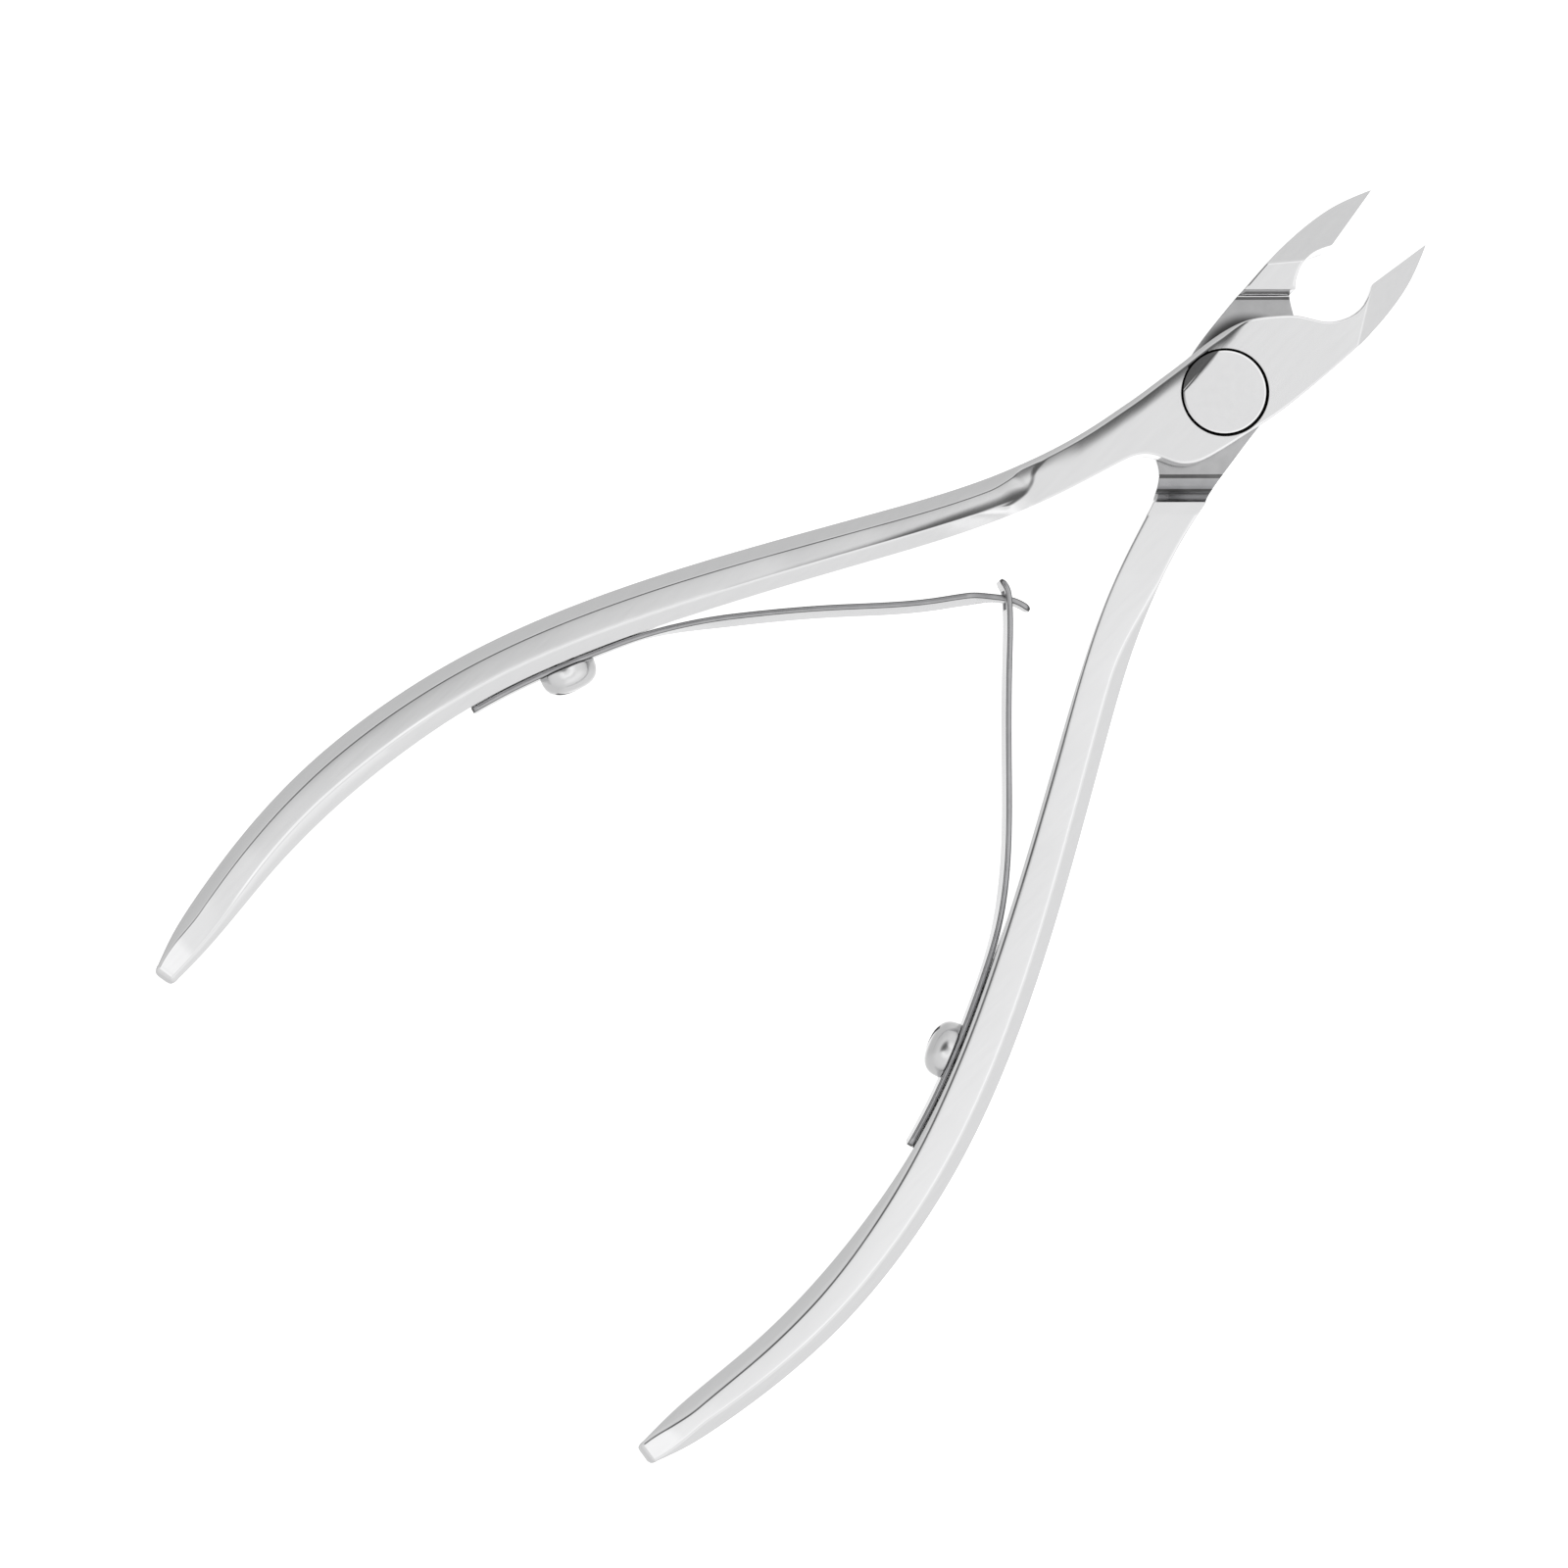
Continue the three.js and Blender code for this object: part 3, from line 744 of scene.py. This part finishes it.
def throat_rings():
    rings = []
    steps = 10
    for k in range(JOINT_LAST, len(left_curve.at) - 1):
        for step in range(steps):
            sides = []
            for curve in (left_curve, right_curve):
                sides.append(curve.point(mix(curve.at[k], curve.at[k + 1], step / steps)))
            rings.append(jaw_ring(*sides))
    return rings[1:]


def jaw_rings():
    rings = []
    steps = 24
    for i in range(steps + 1):
        left = mix_point(HEEL, TIP, i / steps)
        right = jaw_back_curve.point(jaw_back_curve.at[-1] * i / steps)
        rings.append(jaw_ring(left, right))
    return rings


def lever_body(name):
    rings = handle_rings()
    rings = end_rings(rings[0]) + rings + joint_rings() + throat_rings() + jaw_rings()
    return mesh_object(name, rings)


# ---- Rivet, springs and screws ----


def rounded_corner(centre, radius, start, finish, steps=5):
    """Points of an arc round a centre, angles in degrees."""
    angles = [math.radians(mix(start, finish, i / steps)) for i in range(steps + 1)]
    return [(centre[0] + radius * math.cos(a), centre[1] + radius * math.sin(a)) for a in angles]


def rivet_body(name):
    profile = [(0, 0), (RIVET_TAIL_RADIUS - RIM_BEVEL, 0)]
    profile += rounded_corner((RIVET_TAIL_RADIUS - RIM_BEVEL, RIM_BEVEL), RIM_BEVEL, -90, 0)
    profile += [
        (RIVET_TAIL_RADIUS, RIVET_TAIL_DEPTH),
        (RIVET_SHANK_RADIUS, RIVET_TAIL_DEPTH),
        (RIVET_SHANK_RADIUS, FULL - RIVET_HEAD_DEPTH),
        (RIVET_RADIUS, FULL - RIVET_HEAD_DEPTH),
    ]
    inside = RIVET_RADIUS - RIM_BEVEL
    rim = FULL - RIVET_DOME
    profile += rounded_corner((inside, rim - RIM_BEVEL), RIM_BEVEL, 0, RIM_TURN)
    steps = 24
    for i in range(1, steps + 1):
        radius = inside * (1 - i / steps)
        profile.append((radius, FULL - RIVET_DOME * (radius / inside) ** 2))
    rivet = turned(name, profile)
    cut(rivet, rivet_facet())
    return place(rivet, Matrix.Translation((0, RIVET_SHIFT, 0)))


def rivet_facet():
    """What is ground off the rivet's head: a body whose underside curves down from a line."""
    steps = 10
    outline = []
    for i in range(steps + 1):
        y = RIVET_FACET_LENGTH * i / steps
        outline.append((y, -y * math.tan(RIVET_FACET_TILT) - RIVET_FACET_BEND * y**2))
    outline += [(RIVET_FACET_LENGTH, CUTTER_SPARE), (0, CUTTER_SPARE)]
    half = RIVET_RADIUS + CUTTER_SPARE
    ground = mesh_object("ground", [[(x, y, z) for y, z in outline] for x in (-half, half)])
    turn = Matrix.Rotation(RIVET_FACET_TURN, 4, "Z")
    return place(ground, Matrix.Translation((0, RIVET_FACET_Y, FULL - RIVET_DOME / 2)) @ turn)


def rivet_hole(turned_over):
    """The hole in a lever: a stepped bore whose rim has a small bevel."""
    bore = RIVET_RADIUS + RIVET_GAP
    tail = RIVET_TAIL_RADIUS + RIVET_GAP
    shank = RIVET_SHANK_RADIUS + BORE_CLEARANCE
    head_floor = FULL - RIVET_HEAD_DEPTH - BORE_CLEARANCE
    tail_top = RIVET_TAIL_DEPTH + BORE_CLEARANCE
    cone = CUTTER_SPARE / 2
    profile = [
        (0, -CUTTER_SPARE),
        (tail + RIM_BEVEL + cone, -cone),
        (tail, RIM_BEVEL),
        (tail, tail_top),
        (shank, tail_top),
        (shank, head_floor),
        (bore, head_floor),
        (bore, FULL - RIM_BEVEL),
        (bore + RIM_BEVEL + cone, FULL + cone),
        (0, FULL + CUTTER_SPARE),
    ]
    hole = turned("rivet_hole", profile)
    return place(hole, TURNED_OVER) if turned_over else hole


def spring_path(free):
    """The spring's middle line: along its seat on the handle, then through the free points."""
    offset = SEAT_GAP + SPRING_THICKNESS / 2
    seated = []
    seats = 5
    for i in range(seats + 1):
        point, out = inner_side(mix(ROOT_START, ROOT_END, i / seats))
        seated.append((point[0] + out[0] * offset, point[1] + out[1] * offset))
    return Curve(seated + free)


def spring_section(width, thickness):
    """Corners of a strip's rounded cross-section as (across the thickness, along the width)."""
    corners = []
    rounding = min(SPRING_ROUNDING, thickness * ROUNDING_SHARE, width * ROUNDING_SHARE)
    for sign_a, sign_b, start in ((1, 1, 0), (-1, 1, 90), (-1, -1, 180), (1, -1, 270)):
        centre = (sign_a * (thickness / 2 - rounding), sign_b * (width / 2 - rounding))
        corners += rounded_corner(centre, rounding, start, start + 90, steps=4)
    return corners


def crossing_of(path):
    """Distance along a spring where it crosses the other."""
    return path.find(lambda p: p[0], CROSSING, 0, path.at[-2])


def spring_width(path, u, has_tongue):
    width = SPRING_WIDTH
    if has_tongue:
        taper_end = crossing_of(path) - TONGUE_SHOULDER
        taper_start = taper_end - TONGUE_TAPER
        tapered = ease((u - taper_start) / (taper_end - taper_start))
        width = mix(SPRING_WIDTH, TONGUE_WIDTH, tapered)
    for from_end in (path.at[-1] - u, u):
        if from_end < SPRING_END_LENGTH:
            pinch = 1 - from_end / SPRING_END_LENGTH
            rounded = 1 - math.sqrt(max(0.0, 1 - pinch**2))
            width -= 2 * SPRING_END_LENGTH * SPRING_END_SHARE * rounded
    return width


def spring_body(name, path, lean, has_tongue):
    """A strip along a path, whose free part leans to one side."""
    length = path.at[-1]
    inset = 1.5 * path.HEADING_REACH
    rings = []
    steps = 260
    for i in range(steps + 1):
        u = length * i / steps
        thickness = SPRING_THICKNESS
        if length - u < SPRING_TIP_LENGTH:
            thickness *= mix(SPRING_TIP_SHARE, 1.0, (length - u) / SPRING_TIP_LENGTH)
        heading = path.heading(clamp(u, inset, length - inset))
        x, y = path.point(u)
        tilt = lean * ease((u - TILT_START) / TILT_LENGTH)
        ring = []
        for a, b in spring_section(spring_width(path, u, has_tongue), thickness):
            side = a * math.cos(tilt) + b * math.sin(tilt)
            height = b * math.cos(tilt) - a * math.sin(tilt)
            ring.append((x - math.sin(heading) * side, y + math.cos(heading) * side, MID + height))
        rings.append(ring)
    return mesh_object(name, rings)


def spring_slot(path):
    """The slot that the other spring's tongue passes through."""
    crossing = crossing_of(path)
    slot = box_body("slot", (SLOT_LENGTH, 3 * SPRING_THICKNESS, SLOT_WIDTH))
    turn = Matrix.Rotation(path.heading(crossing), 4, "Z")
    return place(slot, Matrix.Translation((*path.point(crossing), MID)) @ turn)


# The screw's own Z axis points out of the handle's inner side.
screw_point, screw_out = inner_side(SCREW_X)
screw_turn = Vector((*screw_out, 0)).to_track_quat("Z", "Y").to_matrix().to_4x4()
SCREW_FRAME = Matrix.Translation((*screw_point, MID)) @ screw_turn
HEAD_STAND = SEAT_GAP + SPRING_THICKNESS + SEAT_GAP  # of the head above the handle


def screw_body(name):
    foot = HEAD_STAND - SCREW_SHANK_LENGTH
    profile = [(0, foot), (SCREW_SHANK_RADIUS, foot), (SCREW_SHANK_RADIUS, HEAD_STAND)]
    corner = (SCREW_RADIUS - SCREW_ROUNDING, HEAD_STAND + SCREW_ROUNDING)
    profile += rounded_corner(corner, SCREW_ROUNDING, -90, 0)[:-1]
    steps = 28
    for i in range(steps + 1):
        angle = math.pi / 2 * i / steps
        radius = SCREW_RADIUS * max(math.cos(angle), 0.0) ** SCREW_SQUARENESS
        height = (SCREW_HEIGHT - SCREW_ROUNDING) * math.sin(angle) ** SCREW_SQUARENESS
        profile.append((radius, HEAD_STAND + SCREW_ROUNDING + height))
    screw = turned(name, profile, 96)
    slot = box_body("screw_slot", (SCREW_SLOT_WIDTH, 3 * SCREW_RADIUS, 2 * SCREW_SLOT_DEPTH))
    turn = Matrix.Rotation(SCREW_SLOT_TURN, 4, "Z")
    place(slot, Matrix.Translation((0, 0, HEAD_STAND + SCREW_HEIGHT)) @ turn)
    cut(screw, slot)
    return place(screw, SCREW_FRAME)


def box_body(name, size):
    x, y, z = (s / 2 for s in size)
    return mesh_object(name, [[(-x, -y, h), (x, -y, h), (x, y, h), (-x, y, h)] for h in (-z, z)])


def shank_hole():
    radius = SCREW_SHANK_RADIUS + SHANK_CLEARANCE
    foot = HEAD_STAND - SCREW_SHANK_LENGTH - SHANK_CLEARANCE
    profile = [(0, foot), (radius, foot), (radius, HEAD_STAND), (0, HEAD_STAND)]
    return place(turned("shank_hole", profile, 48), SCREW_FRAME)


# ---- Materials ----

NOISE_RANGE = (0.3, 0.7)  # nearly all of a noise's values lie between these
CLOUD_SCALE = 160.0  # of the uneven polish, per metre
POLISH_RANGE = (0.8, 1.25)  # of the roughness
LINE_BUMP = 0.05
LINE_DEPTH = 0.02


def steel(name, tone, roughness, grain, variation=0.025, grazing=1.0):
    """Polished steel: faint grinding lines in colour and bump, and a slightly uneven polish.

    grain is the lines' scale per metre along each axis, variation how much darker they get, and
    grazing the tone of the steel's reflection at a flat angle.
    """
    material = bpy.data.materials.new(name)
    material.use_nodes = True
    nodes = material.node_tree.nodes
    links = material.node_tree.links
    shader = nodes["Principled BSDF"]
    shader.inputs["Metallic"].default_value = 1.0
    shader.inputs["Specular Tint"].default_value = (grazing, grazing, grazing, 1)

    place_node = nodes.new("ShaderNodeTexCoord")
    stretch = nodes.new("ShaderNodeMapping")
    stretch.inputs["Scale"].default_value = grain
    links.new(place_node.outputs["Object"], stretch.inputs["Vector"])
    lines = nodes.new("ShaderNodeTexNoise")
    lines.inputs["Scale"].default_value = 1.0
    lines.inputs["Detail"].default_value = 5.0
    links.new(stretch.outputs["Vector"], lines.inputs["Vector"])

    clouds = nodes.new("ShaderNodeTexNoise")
    clouds.inputs["Scale"].default_value = CLOUD_SCALE
    clouds.inputs["Detail"].default_value = 3.0
    links.new(place_node.outputs["Object"], clouds.inputs["Vector"])

    polish = nodes.new("ShaderNodeMapRange")
    polish.inputs["From Min"].default_value = NOISE_RANGE[0]
    polish.inputs["From Max"].default_value = NOISE_RANGE[1]
    polish.inputs["To Min"].default_value = roughness * POLISH_RANGE[0]
    polish.inputs["To Max"].default_value = roughness * POLISH_RANGE[1]
    links.new(clouds.outputs["Fac"], polish.inputs["Value"])
    links.new(polish.outputs["Result"], shader.inputs["Roughness"])

    colour = nodes.new("ShaderNodeValToRGB")
    darkest, lightest = colour.color_ramp.elements
    darkest.position, lightest.position = NOISE_RANGE
    darkest.color = (*[c * (1 - variation) for c in tone], 1)
    lightest.color = (*tone, 1)
    links.new(lines.outputs["Fac"], colour.inputs["Fac"])
    links.new(colour.outputs["Color"], shader.inputs["Base Color"])

    bump = nodes.new("ShaderNodeBump")
    bump.inputs["Strength"].default_value = LINE_BUMP
    bump.inputs["Distance"].default_value = LINE_DEPTH * MM
    links.new(lines.outputs["Fac"], bump.inputs["Height"])
    links.new(bump.outputs["Normal"], shader.inputs["Normal"])
    return material


def paint_shade_near_pivot(material):
    """Paints shade into the laps' colour: darker round a place beside the pivot, near the other
    lever's edge.
    """
    nodes = material.node_tree.nodes
    links = material.node_tree.links
    colour = nodes["Principled BSDF"].inputs["Base Color"]
    unshaded_colour = colour.links[0].from_socket
    place_node = nodes.new("ShaderNodeTexCoord")
    distance = nodes.new("ShaderNodeVectorMath")
    distance.operation = "DISTANCE"
    links.new(place_node.outputs["Object"], distance.inputs[0])
    distance.inputs[1].default_value = (SHADE_X * MM, 0, MID * MM)
    shade_factor = nodes.new("ShaderNodeMapRange")
    shade_factor.interpolation_type = "SMOOTHSTEP"
    shade_factor.inputs["From Min"].default_value = SHADE_DARKEST * MM
    shade_factor.inputs["From Max"].default_value = SHADE_CLEAR * MM
    shade_factor.inputs["To Min"].default_value = SHADE_TONE
    shade_factor.inputs["To Max"].default_value = 1.0
    links.new(distance.outputs["Value"], shade_factor.inputs["Value"])
    shaded_colour = nodes.new("ShaderNodeVectorMath")
    shaded_colour.operation = "SCALE"
    links.new(unshaded_colour, shaded_colour.inputs[0])
    links.new(shade_factor.outputs["Result"], shaded_colour.inputs["Scale"])
    links.new(shaded_colour.outputs["Vector"], colour)


lever_steel = steel("lever_steel", (0.74, 0.74, 0.745), 0.13, (300, 2600, 2600))
rivet_steel = steel("rivet_steel", (0.74, 0.74, 0.745), 0.1, (1800, 1800, 1800))
spring_steel = steel("spring_steel", (0.78, 0.78, 0.79), 0.2, (500, 3000, 500), grazing=0.75)
screw_steel = steel("screw_steel", (0.7, 0.7, 0.705), 0.2, (1500, 1500, 1500))
lap_steel = steel("lap_steel", (0.5, 0.5, 0.505), 0.34, (900, 900, 900), variation=0.12)
# Painted shade on the laps beside the pivot.
paint_shade_near_pivot(lap_steel)
sheared_steel = steel("sheared_steel", (0.42, 0.42, 0.43), 0.3, (900, 900, 900), variation=0.12)
# Painted shade and dark reflection: near-black steel in the lap's corners and on the springs'
# rounded corners.
corner_shade_steel = steel("corner_shade_steel", (0.17, 0.17, 0.17), 0.4, (900, 900, 900), variation=0.2)
# Painted shade: near-black steel fills the deep gap round the rivet.
bore_shade_steel = steel("bore_shade_steel", (0.03, 0.03, 0.03), 0.55, (900, 900, 900), variation=0.3)


# ---- The nipper ----

SHARP_ANGLE = math.radians(32)

# Which material a face gets depends on its middle and its normal. A lever is painted before it
# is turned over.


def is_lap(point, normal):
    between_walls = -WHEEL_REACH < lap_n(point) < JAW_WALL_FOOT
    return between_walls and point.z < MID + 2 * FLOOR_STEP_DEPTH and normal.z < 0.05


def is_shade_line(point, normal):
    """Whether a face gets painted shade: on the step of the lap's floor or on a dark line near a
    wall's foot.
    """
    n = lap_n(point)
    at_step = FLOOR_STEP < -n < FLOOR_STEP + FLOOR_STEP_WIDTH
    on_shade_line = any(
        line_start < place < line_start + SHADE_LINE_WIDTH
        for line_start, place in ((JAW_SHADE_LINE, n), (HANDLE_SHADE_LINE, -n))
    )
    return is_lap(point, normal) and (at_step or on_shade_line)


def is_deep_floor(point, normal):
    """Whether a face is on the deeper part of the lap's floor, beyond the step."""
    return is_lap(point, normal) and -lap_n(point) > FLOOR_STEP + FLOOR_STEP_WIDTH


# Painted shade: the bore's walls and floors are painted near-black.
def is_bore(point, normal):
    inside = math.hypot(point.x, point.y) < RIVET_RADIUS + RIVET_GAP + RIM_BEVEL / 2
    return inside and (abs(normal.z) < 0.5 or LAP_GAP < abs(point.z - MID) < MID - 2 * RIVET_DOME)


# Painted shade: the rivet's sides, down in the gap, are painted near-black.
def is_rivet_side(point, normal):
    return abs(normal.z) < 0.3


SHEARED_NORMAL = 0.75  # least vertical part of the normal on a spring's sheared edge
CORNER_NORMAL = 0.15  # and in the corner beside it


def is_sheared(point, normal):
    return abs(normal.z) > SHEARED_NORMAL


# Painted dark reflection: the strip's rounded corners get near-black steel, standing in for the
# dark reflections along its creases.
def is_sheared_corner(point, normal):
    return CORNER_NORMAL < abs(normal.z) <= SHEARED_NORMAL


def paint(made, base, *others):
    """Gives the mesh a base material and each (material, test) of others the faces that pass."""
    made.data.materials.clear()
    made.data.materials.append(base)
    for polygon in made.data.polygons:
        polygon.use_smooth = True
        polygon.material_index = 0
    for index, (material, test) in enumerate(others, start=1):
        made.data.materials.append(material)
        for polygon in made.data.polygons:
            if test(polygon.center / MM, polygon.normal):
                polygon.material_index = index


def finish_piece(made, node, body):
    """Stands a piece in for its CAD node, on a body if one is given."""
    made.data.set_sharp_from_angle(angle=SHARP_ANGLE)
    weighted = made.modifiers.new("weighted_normals", "WEIGHTED_NORMAL")
    weighted.keep_sharp = True
    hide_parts(node)
    if body:
        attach(made, body)


front_lever = lever_body("front_lever_polished")
cut(front_lever, shank_hole())
rear_lever = copy_of(front_lever, "rear_lever_polished")
cut(front_lever, rivet_hole(turned_over=False))
cut(rear_lever, rivet_hole(turned_over=True))
for lever in (front_lever, rear_lever):
    paint(
        lever,
        lever_steel,
        (lap_steel, is_lap),
        (sheared_steel, is_deep_floor),
        # painted shade on the lap's step and near its walls' feet
        (corner_shade_steel, is_shade_line),
        # painted shade: the rivet's bore is painted near-black
        (bore_shade_steel, is_bore),
    )
place(rear_lever, TURNED_OVER)
finish_piece(front_lever, "front_lever", "front_lever")
finish_piece(rear_lever, "rear_lever", "rear_lever")

rivet = rivet_body("pivot_rivet_polished")
paint(rivet, rivet_steel, (bore_shade_steel, is_rivet_side))
finish_piece(rivet, "pivot_rivet", "rear_lever")

front_screw = screw_body("front_spring_screw_domed")
paint(front_screw, screw_steel)
rear_screw = place(copy_of(front_screw, "rear_spring_screw_domed"), TURNED_OVER)
finish_piece(front_screw, "front_spring_screw", "front_lever")
finish_piece(rear_screw, "rear_spring_screw", "rear_lever")

front_path = spring_path(FRONT_SPRING)
front_spring = spring_body("front_spring_leaf", front_path, FRONT_SPRING_TILT, has_tongue=True)
cut(front_spring, shank_hole())
rear_path = spring_path(REAR_SPRING)
rear_spring = spring_body("rear_spring_leaf", rear_path, REAR_SPRING_TILT, has_tongue=False)
cut(rear_spring, shank_hole())
cut(rear_spring, spring_slot(rear_path))
place(rear_spring, TURNED_OVER)
for spring, node in ((front_spring, "front_spring"), (rear_spring, "rear_spring")):
    # The springs' rounded corners get a painted dark reflection.
    paint(spring, spring_steel, (sheared_steel, is_sheared), (corner_shade_steel, is_sheared_corner))
    finish_piece(spring, node, None)

# Each spring's placement is baked into its mesh.
for spring, own, other in (
    (front_spring, "front_lever", "rear_lever"),
    (rear_spring, "rear_lever", "front_lever"),
):
    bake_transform(spring)


# ---- Floor, light and camera ----

FLOOR_HALF = 2.0  # in metres
FLOOR_DROP = 0.02
FLOOR_TONE = 0.6
FLOOR_GLOW = 0.85


def floor():
    data = bpy.data.meshes.new("floor")
    mesh = bmesh.new()
    corners = [(-1, -1), (1, -1), (1, 1), (-1, 1)]
    level = -FLOOR_DROP * MM
    mesh.faces.new([mesh.verts.new((x * FLOOR_HALF, y * FLOOR_HALF, level)) for x, y in corners])
    mesh.to_mesh(data)
    mesh.free()
    made = bpy.data.objects.new("floor", data)
    bpy.context.scene.collection.objects.link(made)
    material = bpy.data.materials.new("pale_floor")
    material.use_nodes = True
    shader = material.node_tree.nodes["Principled BSDF"]
    shader.inputs["Base Color"].default_value = (FLOOR_TONE, FLOOR_TONE, FLOOR_TONE, 1)
    shader.inputs["Roughness"].default_value = 0.9
    shader.inputs["Specular IOR Level"].default_value = 0.0
    shader.inputs["Emission Color"].default_value = (1, 1, 1, 1)
    shader.inputs["Emission Strength"].default_value = FLOOR_GLOW
    made.data.materials.append(material)
    made.visible_glossy = False


# Light from the studio as (degrees from straight up, level). Towards +Y a wide dark gap lies
# between the overhead soft box and a strip light; towards -Y the soft box's edge is brighter and
# the gap is narrow and faint. A light ground shows below.
LIGHT_GROUND = [(165, 1.2), (180, 1.2)]
SKY_PLUS_Y = [
    (0, 1.0), (3, 0.8), (6, 0.7), (9, 0.45), (12, 0.25), (16, 0.12), (31, 0.12),
    (38, 0.4), (44, 0.85), (58, 0.85), (66, 0.75), (90, 0.68), (140, 0.7),
] + LIGHT_GROUND
SKY_MINUS_Y = [
    (0, 1.02), (10, 1.15), (14, 1.32), (20, 1.32), (28, 0.9), (44, 1.15), (60, 1.15),
    (72, 0.98), (90, 0.95), (140, 0.9),
] + LIGHT_GROUND
SKY_ALONG_X = [
    (0, 1.0), (13, 1.0), (18, 1.3), (26, 1.2), (40, 0.92), (60, 0.92), (90, 0.8), (140, 0.8),
] + LIGHT_GROUND
SKY_TOP = 1.5  # the levels are stored as shares of this
SIDE_SKY_START = 0.5  # how far towards Y a side's light starts to show, and where it shows alone
SIDE_SKY_FULL = 0.87
LEAST_LEVEL_PART = 0.01

# A mix node has sockets of the same name for each kind of data, so its colour sockets are found
# by number.
COLOUR_A = 6
COLOUR_B = 7
COLOUR_MIXED = 2


def sky_ramp(nodes, links, angle, levels):
    """A colour ramp of the sky's levels; a new ramp has two elements of its own."""
    ramp = nodes.new("ShaderNodeValToRGB")
    elements = ramp.color_ramp.elements
    own = len(elements)
    for i, (degrees, level) in enumerate(levels):
        element = elements[i] if i < own else elements.new(degrees / 180)
        element.position = degrees / 180
        element.color = (*[level / SKY_TOP] * 3, 1)
    links.new(angle, ramp.inputs["Fac"])
    return ramp.outputs["Color"]


def world():
    """The studio's light, by the angle from straight up and the side it comes from."""
    made = bpy.data.worlds.new("studio")
    bpy.context.scene.world = made
    made.use_nodes = True
    nodes = made.node_tree.nodes
    links = made.node_tree.links

    def math_node(operation, first, second=None):
        node = nodes.new("ShaderNodeMath")
        node.operation = operation
        for socket, value in zip(node.inputs, (first, second)):
            if isinstance(value, bpy.types.NodeSocket):
                links.new(value, socket)
            elif value is not None:
                socket.default_value = value
        return node.outputs["Value"]

    direction = nodes.new("ShaderNodeTexCoord")
    split = nodes.new("ShaderNodeSeparateXYZ")
    links.new(direction.outputs["Generated"], split.inputs["Vector"])
    x, y, z = (split.outputs[axis] for axis in "XYZ")
    angle = math_node("DIVIDE", math_node("ARCCOSINE", z), math.pi)
    level_squared = math_node("ADD", math_node("POWER", x, 2), math_node("POWER", y, 2))
    level_part = math_node("SQRT", level_squared)
    level_part = math_node("MAXIMUM", level_part, LEAST_LEVEL_PART)
    towards_y = math_node("DIVIDE", y, level_part)
    colour = sky_ramp(nodes, links, angle, SKY_ALONG_X)
    for sign, levels in ((1, SKY_PLUS_Y), (-1, SKY_MINUS_Y)):
        share = nodes.new("ShaderNodeMapRange")
        share.interpolation_type = "SMOOTHSTEP"
        share.inputs["From Min"].default_value = SIDE_SKY_START * sign
        share.inputs["From Max"].default_value = SIDE_SKY_FULL * sign
        links.new(towards_y, share.inputs["Value"])
        blend = nodes.new("ShaderNodeMix")
        blend.data_type = "RGBA"
        links.new(share.outputs["Result"], blend.inputs["Factor"])
        links.new(colour, blend.inputs[COLOUR_A])
        links.new(sky_ramp(nodes, links, angle, levels), blend.inputs[COLOUR_B])
        colour = blend.outputs[COLOUR_MIXED]
    background = nodes["Background"]
    links.new(colour, background.inputs["Color"])
    background.inputs["Strength"].default_value = SKY_TOP


CAMERA_PLACE = Vector((-46.665, 4.472, 313.495)) * MM
CAMERA_TARGET = Vector((-46.120, 2.825, MID)) * MM
CAMERA_UP = Vector((0.7087, 0.7055, 0.0))
FOCAL_LENGTH = 89.89
SENSOR = 36.0
NEAREST_SEEN = 10.0


def camera():
    data = bpy.data.cameras.new("camera")
    data.lens = FOCAL_LENGTH
    data.sensor_width = SENSOR
    data.clip_start = NEAREST_SEEN * MM
    made = bpy.data.objects.new("camera", data)
    bpy.context.scene.collection.objects.link(made)
    back = (CAMERA_PLACE - CAMERA_TARGET).normalized()
    right = CAMERA_UP.cross(back).normalized()
    up = back.cross(right)
    turn = Matrix((right, up, back)).transposed().to_4x4()
    made.matrix_world = Matrix.Translation(CAMERA_PLACE) @ turn
    bpy.context.scene.camera = made


floor()
world()
camera()
bpy.context.scene.view_settings.view_transform = "Standard"

bpy.context.view_layer.update()
